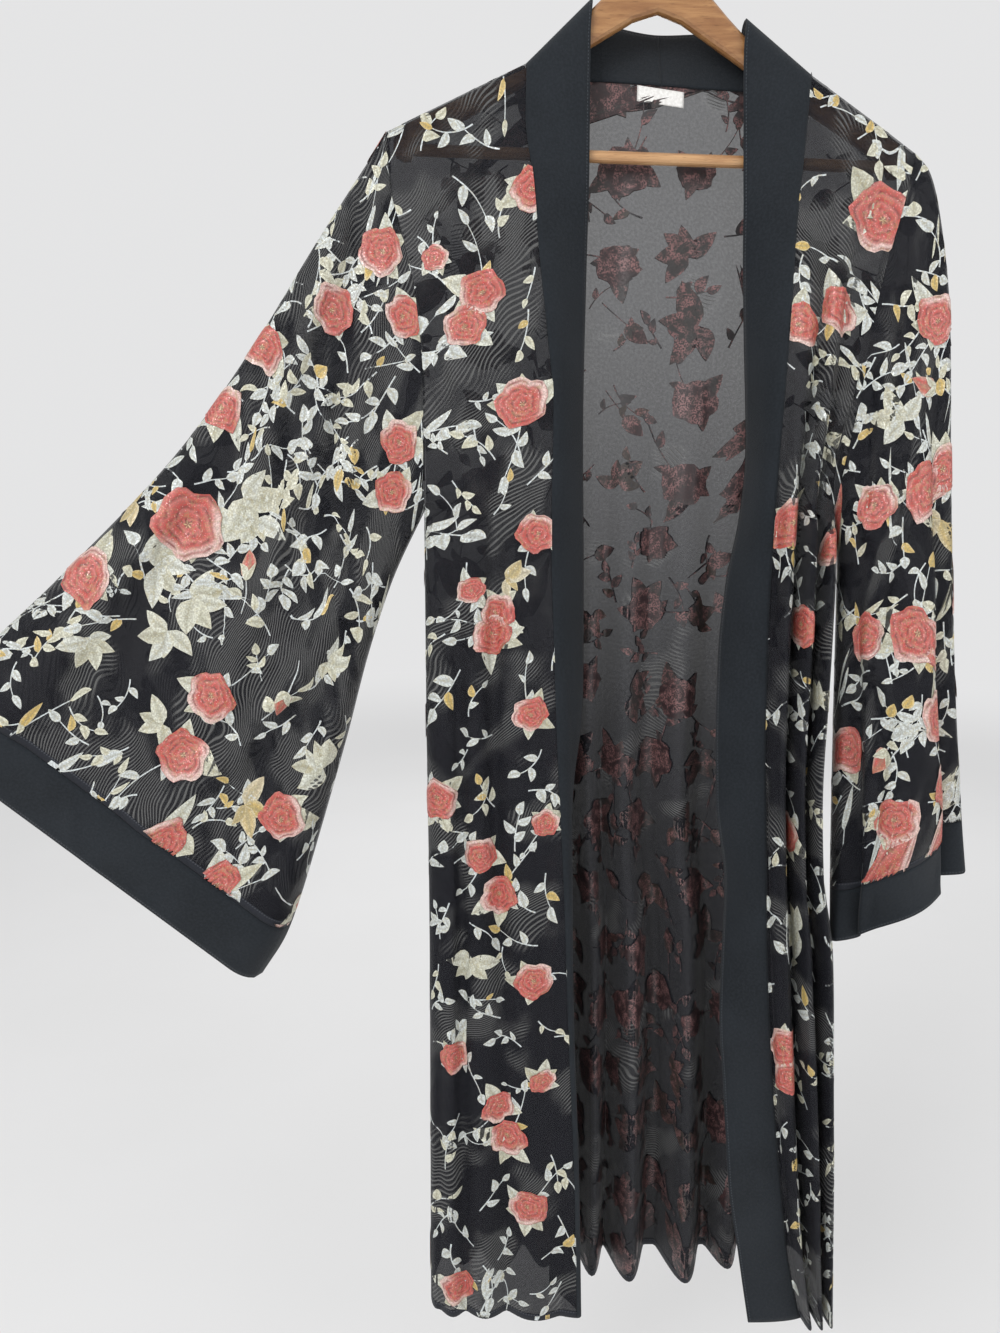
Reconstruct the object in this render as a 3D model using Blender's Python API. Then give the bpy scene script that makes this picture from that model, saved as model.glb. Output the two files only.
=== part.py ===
"""Open-front kimono coat in sheer printed mesh, hanging on a wooden hanger.

Metres, +Z up, +X to the viewer's right, +Y away from the viewer. The origin is the
point inside the top of the hook where it rests on a rail. Every cloth piece is one
wall of real thickness, laid through a function that gives its middle surface.
"""
import math
from collections import namedtuple

import bmesh
import bpy
from mathutils import Matrix, Vector

# Cloth
CLOTH = 0.0012
BAND_CLOTH = 0.0016
LABEL_CLOTH = 0.0006
SEAM_GAP = 0.0003
ARMHOLE_GAP = 0.0005
UNDERARM_GAP = 0.0018

# How the cloth turns over the hanger's arms and round the side seams
OVER_WOOD_DEEP = 0.0098
OVER_WOOD_DROP = 0.0088
SIDE_TURN = 0.008
ARMHOLE_EASE = 0.035

# Shares of a panel's length: over the hanger's arm, then the armhole, then the skirt
OVER_WOOD = 0.03
ARMHOLE = 0.36
UNDERARM_Z = -0.529
FRONT_HEM_Z = -1.303
BACK_HEM_Z = -1.308

# Hanger
WOOD_THICK = 0.013
WOOD_ROUND = 0.0052
HANGER_TILT = math.radians(2.0)
BAR_RADIUS = 0.005
BAR_HALF = 0.2070
BAR_Z = -0.2355
HOOK_WIRE = 0.0018
HOOK_INSIDE = 0.019
SHANK_TOP_Z = -0.052
SHANK_END_Z = -0.098

CUFF_WIDE = 0.055
BAND_LEAD = 0.014
NECK_MIDDLE_X = 0.002
LABEL_LEFT, LABEL_RIGHT = -0.0185, 0.0215
LABEL_LONG = 0.0155
LABEL_ROWS = 0.94

Rail = namedtuple("Rail", "z x")
Depth = namedtuple("Depth", "z seam middle")
Fold = namedtuple("Fold", "at wide deep starts full")
Edge = namedtuple("Edge", "z x y rise")
Neck = namedtuple("Neck", "x z y edge_x edge_y edge_z")
Sleeve = namedtuple("Sleeve", "t top_x top_z under_x under_z front back")
Hang = namedtuple("Hang", "t across down round")
Lobe = namedtuple("Lobe", "at wide out")
Crease = namedtuple("Crease", "t0 q0 t1 q1 wide high")

# Band seam and side line of the fronts, shoulder to hem
SEAM_LEFT = [
    Rail(-0.1617, -0.1125), Rail(-0.2052, -0.1134), Rail(-0.2546, -0.1069),
    Rail(-0.3165, -0.1014), Rail(-0.3789, -0.0946), Rail(-0.4421, -0.0889),
    Rail(-0.5418, -0.0900), Rail(-0.6649, -0.0865), Rail(-0.7677, -0.0822),
    Rail(-0.8636, -0.0769), Rail(-1.0138, -0.0709), Rail(-1.1534, -0.0643),
    Rail(-1.3080, -0.0600),
]
SEAM_RIGHT = [
    Rail(-0.1702, 0.1225), Rail(-0.2348, 0.1182), Rail(-0.2965, 0.1134),
    Rail(-0.3525, 0.1115), Rail(-0.5314, 0.1028), Rail(-0.6308, 0.1002),
    Rail(-0.7217, 0.1010), Rail(-0.8387, 0.1060), Rail(-0.9200, 0.1095),
    Rail(-1.0397, 0.1180), Rail(-1.1505, 0.1297), Rail(-1.2359, 0.1407),
    Rail(-1.3080, 0.1560),
]
SIDE_LEFT = [
    Rail(-0.2149, -0.2294), Rail(-0.2600, -0.2270), Rail(-0.3000, -0.2170),
    Rail(-0.3523, -0.2065), Rail(-0.4200, -0.2015), Rail(-0.5290, -0.2017),
    Rail(-0.7000, -0.2018), Rail(-0.8900, -0.2010), Rail(-1.0960, -0.2021),
    Rail(-1.3080, -0.2035),
]
SIDE_RIGHT = [
    Rail(-0.2315, 0.2130), Rail(-0.2700, 0.2060), Rail(-0.3200, 0.1940),
    Rail(-0.3670, 0.1850), Rail(-0.4260, 0.1780), Rail(-0.5290, 0.1620),
    Rail(-0.6000, 0.1640), Rail(-0.7000, 0.1620), Rail(-0.7700, 0.1600),
    Rail(-0.8500, 0.1640), Rail(-0.9400, 0.1780), Rail(-1.0400, 0.1836),
    Rail(-1.2000, 0.1890), Rail(-1.3080, 0.1900),
]

# How far each panel stands from the hanger's plane
FRONT_DEPTH = [
    Depth(-0.16, 0.0098, 0.0098), Depth(-0.24, 0.0130, 0.0120), Depth(-0.32, 0.0180, 0.0145),
    Depth(-0.45, 0.0230, 0.0170), Depth(-0.67, 0.0280, 0.0200), Depth(-1.00, 0.0320, 0.0220),
    Depth(-1.31, 0.0340, 0.0230),
]
BACK_DEPTH = [
    Depth(-0.16, 0.0135, 0.0100), Depth(-0.24, 0.0160, 0.0140), Depth(-0.40, 0.0280, 0.0280),
    Depth(-0.67, 0.0440, 0.0440), Depth(-1.00, 0.0590, 0.0590), Depth(-1.31, 0.0720, 0.0720),
]

# Folds that hang down each panel: place across, width, depth, and the heights
# where a fold starts and where it has its full depth
FOLDS_LEFT = [
    Fold(0.30, 0.19, 0.014, -0.26, -0.95), Fold(0.62, 0.15, 0.012, -0.34, -0.80),
    Fold(0.84, 0.09, 0.010, -0.56, -1.10),
]
FOLDS_RIGHT = [
    Fold(0.20, 0.15, 0.022, -0.24, -0.62), Fold(0.50, 0.14, 0.026, -0.22, -0.55),
    Fold(0.79, 0.13, 0.024, -0.30, -0.66),
]
FOLDS_BACK = [
    Fold(0.075, 0.050, 0.030, -0.55, -1.20), Fold(0.175, 0.060, 0.040, -0.42, -1.30),
    Fold(0.290, 0.050, 0.034, -0.50, -1.20), Fold(0.415, 0.038, 0.046, -0.36, -1.30),
    Fold(0.510, 0.055, 0.054, -0.28, -1.32), Fold(0.655, 0.060, 0.056, -0.26, -1.32),
    Fold(0.775, 0.045, 0.036, -0.44, -1.25), Fold(0.895, 0.055, 0.040, -0.38, -1.30),
]

# Free edge of the band beside each front, read by the height of its seam
EDGE_LEFT = [
    Edge(-0.1617, -0.0589, -0.0105, 0.0499), Edge(-0.1800, -0.0605, -0.0110, 0.0360),
    Edge(-0.2100, -0.0604, -0.0100, 0.0200), Edge(-0.2600, -0.0602, -0.0085, 0.0080),
    Edge(-0.3165, -0.0606, 0.0060, 0.0020), Edge(-0.4421, -0.0612, 0.0190, 0.0),
    Edge(-0.5884, -0.0592, 0.0160, 0.0), Edge(-0.7000, -0.0585, 0.0140, 0.0),
    Edge(-0.7938, -0.0681, 0.0120, 0.0), Edge(-0.8829, -0.0745, 0.0120, 0.0),
    Edge(-1.0138, -0.0830, 0.0110, 0.0), Edge(-1.3080, -0.0850, 0.0070, 0.0),
]
EDGE_RIGHT = [
    Edge(-0.1702, 0.0683, -0.0105, 0.0431), Edge(-0.1850, 0.0660, -0.0110, 0.0330),
    Edge(-0.2348, 0.0685, -0.0090, 0.0100), Edge(-0.2700, 0.0700, -0.0085, 0.0040),
    Edge(-0.3200, 0.0750, 0.0050, 0.0), Edge(-0.3800, 0.0800, 0.013, 0.0),
    Edge(-0.4853, 0.0865, 0.019, 0.0), Edge(-0.5332, 0.0828, 0.018, 0.0), Edge(-0.5971, 0.0693, 0.006, 0.0),
    Edge(-0.6571, 0.0635, 0.000, 0.0), Edge(-0.7270, 0.0623, -0.005, 0.0),
    Edge(-0.7857, 0.0631, -0.010, 0.0), Edge(-0.8800, 0.0765, -0.001, 0.0),
    Edge(-0.9943, 0.0717, -0.017, 0.0), Edge(-1.0768, 0.0776, -0.020, 0.0),
    Edge(-1.1541, 0.0814, -0.032, 0.0), Edge(-1.2416, 0.0950, -0.032, 0.0),
    Edge(-1.3080, 0.1050, -0.040, 0.0),
]

# Back neck seam, and the band's free edge above it, shoulder to shoulder
NECK = [
    Neck(-0.1125, -0.1705, 0.0098, -0.0585, 0.0105, -0.1190),
    Neck(-0.1000, -0.1693, 0.0118, -0.0560, 0.0165, -0.1180),
    Neck(-0.0750, -0.1685, 0.0132, -0.0465, 0.0240, -0.1180),
    Neck(-0.0400, -0.1695, 0.0135, -0.0290, 0.0300, -0.1215),
    Neck(0.0020, -0.1720, 0.0140, 0.0020, 0.0330, -0.1250),
    Neck(0.0500, -0.1755, 0.0135, 0.0330, 0.0300, -0.1255),
    Neck(0.0850, -0.1775, 0.0132, 0.0540, 0.0240, -0.1275),
    Neck(0.1100, -0.1788, 0.0118, 0.0640, 0.0165, -0.1305),
    Neck(0.1225, -0.1790, 0.0098, 0.0679, 0.0105, -0.1345),
]

# Spread sleeve: fold lines at the top and under the arm, and how far it fills out
SPREAD = [
    Sleeve(0.00, -0.2294, -0.2149, -0.2017, -0.5290, 0.0098, 0.0098),
    Sleeve(0.15, -0.2872, -0.2987, -0.2316, -0.5910, 0.0160, 0.0110),
    Sleeve(0.30, -0.3426, -0.3831, -0.2542, -0.6560, 0.0210, 0.0110),
    Sleeve(0.47, -0.4106, -0.4736, -0.2748, -0.7313, 0.0250, 0.0100),
    Sleeve(0.68, -0.5082, -0.5726, -0.3023, -0.8240, 0.0290, 0.0090),
    Sleeve(0.81, -0.5697, -0.6287, -0.3201, -0.8809, 0.0320, 0.0090),
    Sleeve(0.91, -0.6213, -0.6703, -0.3356, -0.9215, 0.0340, 0.0100),
    Sleeve(1.00, -0.6710, -0.7085, -0.3589, -0.9585, 0.0300, 0.0120),
]
SPREAD_CREASES = [
    Crease(0.00, 0.06, 0.42, 0.30, 0.070, 0.010), Crease(0.02, 0.30, 0.75, 0.62, 0.080, 0.009),
    Crease(0.25, 0.85, 0.95, 0.55, 0.070, 0.010), Crease(0.45, 0.10, 1.00, 0.20, 0.080, 0.010),
]

# Hanging sleeve: how far it has moved across, down and round at each share of its length
HANG = [
    Hang(0.00, 0.000, 0.00, 0.00), Hang(0.04, 0.150, 0.022, 0.06), Hang(0.10, 0.275, 0.075, 0.16),
    Hang(0.22, 0.430, 0.20, 0.34), Hang(0.42, 0.540, 0.41, 0.60), Hang(0.62, 0.660, 0.62, 0.80),
    Hang(0.80, 0.800, 0.81, 0.94), Hang(1.00, 1.000, 1.00, 1.00),
]
HEM_CENTRE_X, HEM_CENTRE_Y = 0.2385, -0.004
HEM_HALF_X, HEM_HALF_Y = 0.0600, 0.0440
HEM_TOP_Z, HEM_UNDER_Z = -0.860, -0.930
LOBES = [
    Lobe(0.110, 0.060, -0.46), Lobe(0.250, 0.110, 0.22), Lobe(0.410, 0.050, -0.30),
    Lobe(0.600, 0.060, -0.42), Lobe(0.690, 0.060, 0.24), Lobe(0.790, 0.060, -0.48),
    Lobe(0.890, 0.060, 0.22),
]
CUFF_TUCK = 0.024


def reading(rows, key, column, at):
    """Read a table's column at a value of its key, on a curve that never overshoots."""
    pairs = sorted((getattr(row, key), getattr(row, column)) for row in rows)
    keys = [pair[0] for pair in pairs]
    values = [pair[1] for pair in pairs]
    last = len(keys) - 1
    at = min(max(at, keys[0]), keys[last])
    k = 0
    while k < last - 1 and at > keys[k + 1]:
        k += 1
    slopes = [(values[i + 1] - values[i]) / (keys[i + 1] - keys[i]) for i in range(last)]

    def lean(i):
        if i == 0:
            return slopes[0]
        if i == last:
            return slopes[last - 1]
        if slopes[i - 1] * slopes[i] <= 0:
            return 0.0
        return 2.0 * slopes[i - 1] * slopes[i] / (slopes[i - 1] + slopes[i])

    span = keys[k + 1] - keys[k]
    u = (at - keys[k]) / span
    return (values[k] * (1 + 2 * u) * (1 - u) ** 2 + lean(k) * span * u * (1 - u) ** 2
            + values[k + 1] * u * u * (3 - 2 * u) - lean(k + 1) * span * u * u * (1 - u))


def mix(a, b, share):
    return a + (b - a) * share


def ease(share):
    share = min(max(share, 0.0), 1.0)
    return share * share * (3 - 2 * share)


def bump(distance, wide):
    """A soft ridge of height 1, nothing beyond its width."""
    share = abs(distance) / wide
    return math.cos(share * math.pi / 2) ** 2 if share < 1 else 0.0


def quarter(share):
    """Quarter round: 0 at its edge, 1 where it has turned."""
    share = min(max(share, 0.0), 1.0)
    return math.sqrt(1 - (1 - share) ** 2)


def fold_height(folds, across, z):
    """How far the hanging folds stand out at a place on a panel."""
    high = 0.0
    for fold in folds:
        grown = min(max((fold.starts - z) / (fold.starts - fold.full), 0.0), 1.0)
        high += fold.deep * bump(across - fold.at, fold.wide) ** 0.6 * mix(grown, ease(grown), 0.5)
    return high


def level(t, top_z, arm_z, hem, drop=OVER_WOOD_DROP):
    """Height at a share of a panel's length, and how far it has turned over the wood."""
    if t < OVER_WOOD:
        angle = t / OVER_WOOD * math.pi / 2
        return top_z - drop * (1 - math.cos(angle)), math.sin(angle)
    start = top_z - drop
    if t < ARMHOLE:
        return mix(start, arm_z, (t - OVER_WOOD) / (ARMHOLE - OVER_WOOD)), 1.0
    return mix(arm_z, hem, (t - ARMHOLE) / (1 - ARMHOLE)), 1.0


def arm_depth(z):
    """Half depth of the armhole, closing where it meets the side seam."""
    return OVER_WOOD_DEEP * quarter((z - UNDERARM_Z) / 0.045)


def side_rest(z):
    """Smallest half depth at a side: flat walls just clear, or edges of a round turn meeting."""
    return mix((CLOTH + SEAM_GAP) / 2, SEAM_GAP / 2, ease((UNDERARM_Z - z) / 0.02))


def side_closing(from_side, z, turn):
    """How far a panel has left its side: softly at the armhole, round at the side seam."""
    return mix(ease(from_side / ARMHOLE_EASE), quarter(from_side / turn), ease((UNDERARM_Z - z) / 0.02))


def front(side, across, t):
    """Middle surface of a front: across from the band seam to the side, t down."""
    left = side < 0
    seam, edge, folds = (SEAM_LEFT, SIDE_LEFT, FOLDS_LEFT) if left else (SEAM_RIGHT, SIDE_RIGHT, FOLDS_RIGHT)
    seam_z, turned = level(t, seam[0].z, UNDERARM_Z, FRONT_HEM_Z)
    side_z, turned = level(t, edge[0].z, UNDERARM_Z, FRONT_HEM_Z)
    seam_x = reading(seam, "z", "x", seam_z)
    side_x = reading(edge, "z", "x", side_z)
    z = mix(seam_z, side_z, across)
    at_seam, at_middle = (reading(FRONT_DEPTH, "z", column, z) for column in ("seam", "middle"))
    depth = mix(at_seam, at_middle, ease(across * 3)) + fold_height(folds, across, z)
    closing = side_closing((1 - across) * abs(side_x - seam_x), side_z, SIDE_TURN)
    ends = max(arm_depth(side_z), side_rest(side_z))
    return Vector((mix(seam_x, side_x, across), -turned * mix(ends, depth, closing), z))


def across_at(x):
    """Share of the back's top edge at a place across."""
    return (x - SIDE_LEFT[0].x) / (SIDE_RIGHT[0].x - SIDE_LEFT[0].x)


def back_top(across):
    """Top edge of the back: shoulder, back neck, shoulder."""
    left, right = SIDE_LEFT[0], SIDE_RIGHT[0]
    x = mix(left.x, right.x, across)
    if x <= NECK[0].x + 1e-6:
        share = (x - left.x) / (NECK[0].x - left.x)
        return Vector((x, 0.0, mix(left.z, SEAM_LEFT[0].z, share)))
    if x >= NECK[-1].x - 1e-6:
        share = (right.x - x) / (right.x - NECK[-1].x)
        return Vector((x, 0.0, mix(right.z, SEAM_RIGHT[0].z, share)))
    return Vector((x, reading(NECK, "x", "y", x), reading(NECK, "x", "z", x)))


def back(across, t):
    """Middle surface of the back: across from the left side to the right, t down."""
    top = back_top(across)
    neck = top.y > 0
    z, turned = level(t, top.z, UNDERARM_Z, BACK_HEM_Z, 0.0 if neck else OVER_WOOD_DROP)
    left_z = level(t, SIDE_LEFT[0].z, UNDERARM_Z, BACK_HEM_Z)[0]
    right_z = level(t, SIDE_RIGHT[0].z, UNDERARM_Z, BACK_HEM_Z)[0]
    left_x = reading(SIDE_LEFT, "z", "x", left_z)
    right_x = reading(SIDE_RIGHT, "z", "x", right_z)
    in_neck = ease((top.x - NECK[0].x) / 0.02) * ease((NECK[-1].x - top.x) / 0.02)
    depth = mix(reading(BACK_DEPTH, "z", "middle", z), reading(BACK_DEPTH, "z", "seam", z), in_neck)
    depth -= fold_height(FOLDS_BACK, across, z)
    wide = right_x - left_x
    from_side = min(across, 1 - across) * wide
    near_z = left_z if across < 0.5 else right_z
    ends = max(arm_depth(near_z), side_rest(near_z))
    turn = SIDE_TURN * mix(1.0, 2.5, ease((UNDERARM_Z - z) / 0.3))
    y = mix(ends, depth, side_closing(from_side, near_z, turn))
    if neck:
        turned = ease((t - OVER_WOOD) / 0.08)
    x = mix(left_x, right_x, across)
    from_tip = min(across / across_at(NECK[0].x), (1 - across) / (1 - across_at(NECK[-1].x)), 1.0)
    x = mix(x, top.x, from_tip * (1 - ease((t - OVER_WOOD) / 0.08)))
    return Vector((x, mix(top.y, y, turned), z))


def armhole(side, q, facing):
    """Armhole seam: q from the shoulder to the underarm, facing -1 front or 1 back."""
    across = 0.0 if side < 0 else 1.0
    t = q * ARMHOLE
    spot = front(side, 1.0, t) if facing < 0 else back(across, t)
    if q > 0.999:
        spot.y = 0.0
    return spot


def armhole_clear(q, t):
    """How far a sleeve stands off its armhole: more under the arm, where walls run side by side."""
    return mix(ARMHOLE_GAP, UNDERARM_GAP, ease((q - 0.75) / 0.2)) * (1 - ease(t * 3))


def round_place(around):
    """Share down the armhole and side faced, at a share of the way round a sleeve."""
    return (around * 2, -1) if around <= 0.5 else (2 - around * 2, 1)


def crease_height(t, q):
    """How far the spread sleeve's broad folds stand out at a place."""
    high = 0.0
    for crease in SPREAD_CREASES:
        run = Vector((crease.t1 - crease.t0, crease.q1 - crease.q0))
        place = Vector((t - crease.t0, q - crease.q0))
        along = min(max(place.dot(run) / run.length_squared, 0.0), 1.0)
        off = (place - run * along).length
        high += crease.high * bump(off, crease.wide) * math.sin(math.pi * mix(0.15, 0.95, along))
    return high


def spread_sleeve(around, t):
    """Left sleeve, laid out: a flattened tube from the armhole to the cuff's edge."""
    q, facing = round_place(around)
    start = armhole(-1, q, facing)
    top = Vector((reading(SPREAD, "t", "top_x", t), 0.0, reading(SPREAD, "t", "top_z", t)))
    under = Vector((reading(SPREAD, "t", "under_x", t), 0.0, reading(SPREAD, "t", "under_z", t)))
    place = top.lerp(under, q)
    first = Vector((SPREAD[0].top_x, 0.0, SPREAD[0].top_z)).lerp(
        Vector((SPREAD[0].under_x, 0.0, SPREAD[0].under_z)), q)
    place += (start - first) * (1 - ease(t * 3))
    column = "front" if facing < 0 else "back"
    deep = reading(SPREAD, "t", column, t)
    closing = quarter(q * 18) * quarter((1 - q) * 14)
    if facing < 0:
        deep += crease_height(t, q)
    deep = mix(abs(start.y), deep * closing, ease(t * 4))
    clear = armhole_clear(q, t)
    return Vector((place.x - clear, facing * deep - 0.012 * ease(t), place.z))


def hem_lobes(around):
    return 1 + sum(lobe.out * bump(around - lobe.at, lobe.wide) for lobe in LOBES)


def hanging_sleeve(around, t):
    """Right sleeve, hanging: a tube that turns down from the armhole in deep folds."""
    q, facing = round_place(around)
    start = armhole(1, q, facing)
    angle = around * 2 * math.pi
    lobes = mix(1.0, hem_lobes(around), ease(t * 1.6))
    hem = Vector((HEM_CENTRE_X + HEM_HALF_X * lobes * math.cos(angle),
                  HEM_CENTRE_Y - HEM_HALF_Y * lobes * math.sin(angle),
                  mix(HEM_UNDER_Z, HEM_TOP_Z, (1 + math.cos(angle)) / 2)))
    across = reading(HANG, "t", "across", t)
    down = reading(HANG, "t", "down", t)
    turned = reading(HANG, "t", "round", t)
    tuck = CUFF_TUCK * ease((t - 0.80) / 0.20) * max(math.sin(angle), 0.0)
    clear = armhole_clear(q, t)
    return Vector((mix(start.x, hem.x, across) + clear, mix(start.y, hem.y, turned) + tuck,
                   mix(start.z, hem.z, down)))


def cuff_share(sleeve, around):
    """Share of a sleeve's length where its cuff starts."""
    long = (sleeve(around, 1.0) - sleeve(around, 0.0)).length
    return 1 - CUFF_WIDE / long


def outward(surface, u, v, du, dv):
    """Unit direction in a surface, square to its edge and leading off it."""
    here = surface(u, v)
    along = surface(u + dv * 0.004, v + du * 0.004) - here
    inward = surface(u + du * 0.02, v + dv * 0.02) - here
    inward -= along * (inward.dot(along) / along.length_squared)
    return -inward.normalized()


def band(side, w, across):
    """Middle surface of a band: w from the hem (0) by the shoulder (1) to mid back (2)."""
    rows = EDGE_LEFT if side < 0 else EDGE_RIGHT
    if w < 1:
        t = 1 - w
        seam = front(side, 0.0, t)
        edge = Vector((reading(rows, "z", "x", seam.z), reading(rows, "z", "y", seam.z),
                       seam.z + reading(rows, "z", "rise", seam.z)))
        turned = level(t, seam.z, UNDERARM_Z, FRONT_HEM_Z)[1]
        edge.y *= turned
        straight = (edge - seam).normalized()
        away = outward(lambda a, b: front(side, a, b), 0.0, max(t, 0.001), 1, 0)
        away = straight.lerp(away, ease((t - OVER_WOOD) / 0.05)).normalized()
    else:
        corner = NECK[0] if side < 0 else NECK[-1]
        x = mix(corner.x, NECK_MIDDLE_X, max(w - 1 - OVER_WOOD, 0.0) / (1 - OVER_WOOD))
        seam = Vector([reading(NECK, "x", column, x) for column in ("x", "y", "z")])
        edge = Vector([reading(NECK, "x", column, x) for column in ("edge_x", "edge_y", "edge_z")])
        if w < 1 + OVER_WOOD:
            shoulder = rows[0]
            top_z, turned = level(w - 1, shoulder.z, UNDERARM_Z, BACK_HEM_Z)
            share = (shoulder.z - top_z) / OVER_WOOD_DROP
            seam = Vector((corner.x, corner.y * turned, top_z))
            edge = Vector((mix(shoulder.x, edge.x, share), edge.y * turned,
                           mix(shoulder.z + shoulder.rise, edge.z, share)))
        away = (edge - seam).normalized()
    lead = seam + away * BAND_LEAD
    start = seam + away * SEAM_GAP
    return start * (1 - across) ** 2 + lead * 2 * across * (1 - across) + edge * across ** 2


def material(name, colour, roughness, metallic=0.0):
    made = bpy.data.materials.new(name)
    made.use_nodes = True
    shader = made.node_tree.nodes["Principled BSDF"]
    shader.inputs["Base Color"].default_value = (*colour, 1.0)
    shader.inputs["Roughness"].default_value = roughness
    shader.inputs["Metallic"].default_value = metallic
    return made


def add_object(name, mesh, finish):
    made = bpy.data.objects.new(name, mesh)
    bpy.context.scene.collection.objects.link(made)
    mesh.materials.append(finish)
    return made


def cloth(name, surface, us, vs, finish, thick=CLOTH, closed=False, notch=None):
    """A grid laid through a surface and thickened; closed joins its sides, a notch is left out."""
    form = bmesh.new()
    bmesh.ops.create_grid(form, x_segments=len(us) - 1, y_segments=len(vs) - 1, size=0.5)
    places = {}
    for point in form.verts:
        column = round((point.co.x + 0.5) * (len(us) - 1))
        row = round((point.co.y + 0.5) * (len(vs) - 1))
        point.co = surface(us[column], vs[row])
        places[point] = (us[column], vs[row])
    if notch:
        cut = [face for face in form.faces if notch([places[point] for point in face.verts])]
        bmesh.ops.delete(form, geom=cut, context="FACES")
    if closed:
        bmesh.ops.remove_doubles(form, verts=form.verts, dist=1e-5)
    bmesh.ops.recalc_face_normals(form, faces=form.faces)
    mesh = bpy.data.meshes.new(name)
    form.to_mesh(mesh)
    form.free()
    mesh.shade_smooth()
    made = add_object(name, mesh, finish)
    wall = made.modifiers.new("wall", "SOLIDIFY")
    wall.thickness = thick
    wall.offset = 0.0
    wall.use_even_offset = True
    return made


def even(first, last, count):
    return [mix(first, last, k / count) for k in range(count + 1)]


def panel_rows(trim):
    """Rows of a panel: round the hanger's arm, down the armhole, down the skirt."""
    over = [trim] + even(0.0, OVER_WOOD, 3)[1:]
    arm = even(OVER_WOOD, ARMHOLE, 6)[1:]
    near_underarm = [mix(arm[-1], arm[-2], share) for share in (0.5, 0.15)]
    return over + arm[:-1] + near_underarm + arm[-1:] + even(ARMHOLE, 1.0, 8)[1:]


def back_columns():
    """Columns of the back, with one on each end of the neck seam."""
    wide = SIDE_RIGHT[0].x - SIDE_LEFT[0].x
    ends = [share / wide for share in (0.0, 0.0015, 0.005, 0.011, 0.020)]
    left, right = across_at(NECK[0].x), across_at(NECK[-1].x)
    neck = even(left, right, 24)[1:-1]
    return (ends + even(ends[-1], left, 8)[1:] + neck + even(right, 1 - ends[-1], 8)[:-1]
            + [1 - share for share in reversed(ends)])


def round_columns():
    """Shares of the way round a sleeve that meet the rows of the fronts and the back."""
    half = [t / ARMHOLE / 2 for t in panel_rows(0.0) if t <= ARMHOLE]
    return half + [1 - around for around in reversed(half[:-1])]


def make_fronts(finish):
    top = OVER_WOOD * (SEAM_GAP / 2) / (OVER_WOOD_DEEP * math.pi / 2)
    for side, name, columns in ((-1, "front_left", 14), (1, "front_right", 20)):
        edges = (SEAM_LEFT, SIDE_LEFT) if side < 0 else (SEAM_RIGHT, SIDE_RIGHT)
        wide = abs(edges[0][8].x - edges[1][6].x)
        turns = [1 - SIDE_TURN * share / wide for share in (0.6, 0.2, 0.0)]
        columns = even(0.0, 1 - SIDE_TURN * 1.2 / wide, columns) + turns
        cloth(name, lambda a, t, s=side: front(s, a, t), columns, panel_rows(top), finish)


def make_back(finish):
    top = OVER_WOOD * (SEAM_GAP / 2) / (OVER_WOOD_DEEP * math.pi / 2)
    left, right = across_at(NECK[0].x), across_at(NECK[-1].x)

    def trimmed(across, t):
        return back(across, OVER_WOOD * 1.03 if t == OVER_WOOD and left < across < right else t)

    def in_neck(corners):
        return all(t <= OVER_WOOD and left <= across <= right for across, t in corners)

    cloth("back", trimmed, back_columns(), panel_rows(top), finish, notch=in_neck)


def make_sleeve(name, cuff_name, sleeve, finish, cuff_finish):
    around = round_columns()
    gap = SEAM_GAP * 1.2

    def body(a, share):
        starts = gap / (sleeve(a, 1.0) - sleeve(a, 0.0)).length
        return sleeve(a % 1.0, mix(0.0, cuff_share(sleeve, a) - starts * 0.8, share))

    def cuff(a, share):
        starts = gap / (sleeve(a, 1.0) - sleeve(a, 0.0)).length
        return sleeve(a % 1.0, mix(cuff_share(sleeve, a) + starts * 0.8, 1.0, share))

    cloth(name, body, around, [0.0, 0.02, 0.06, 0.12, 0.2, 0.3, 0.42, 0.55, 0.68, 0.8, 0.9, 1.0], finish,
          closed=True)
    cloth(cuff_name, cuff, around, [0.0, 0.5, 1.0], cuff_finish, closed=True)


def make_bands(finish):
    rows = panel_rows(0.0)
    for side, name in ((-1, "band_left"), (1, "band_right")):
        corner = NECK[0].x if side < 0 else NECK[-1].x
        shares = [(mix(SIDE_LEFT[0].x, SIDE_RIGHT[0].x, a) - corner) / (NECK_MIDDLE_X - corner)
                  for a in back_columns()]
        over_shoulder = [1 + t for t in rows[1:4]]
        neck = sorted(1 + mix(OVER_WOOD, 1.0, share) for share in shares if 0.001 < share < 0.98)
        along = [1 - t for t in reversed(rows)] + over_shoulder + neck + [2.0 - SEAM_GAP * 8]
        widths = [0.0, 0.12, 0.35, 0.65, 1.0]
        cloth(name, lambda w, a, s=side: band(s, w, a), along, widths, finish, BAND_CLOTH)


def make_label(finish):
    """Small blank label lying on the back's inner face, under the neck seam."""
    span = SIDE_RIGHT[0].x - SIDE_LEFT[0].x
    off = CLOTH / 2 + LABEL_CLOTH / 2 + SEAM_GAP

    def place(u, v):
        share = (mix(LABEL_LEFT, LABEL_RIGHT, u) - SIDE_LEFT[0].x) / span
        t = mix(OVER_WOOD * 1.1, OVER_WOOD + LABEL_LONG * LABEL_ROWS, v)
        spot = back(share, t)
        return Vector((spot.x, spot.y - off, spot.z + 0.003 * (0.5 - u)))

    cloth("label", place, even(0.0, 1.0, 4), even(0.0, 1.0, 2), finish, LABEL_CLOTH)


def tilted(made):
    """Turn a hanger piece about the rail, because the hanger hangs a little to one side."""
    made.data.transform(Matrix.Rotation(HANGER_TILT, 4, "Y"))
    return made


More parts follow.
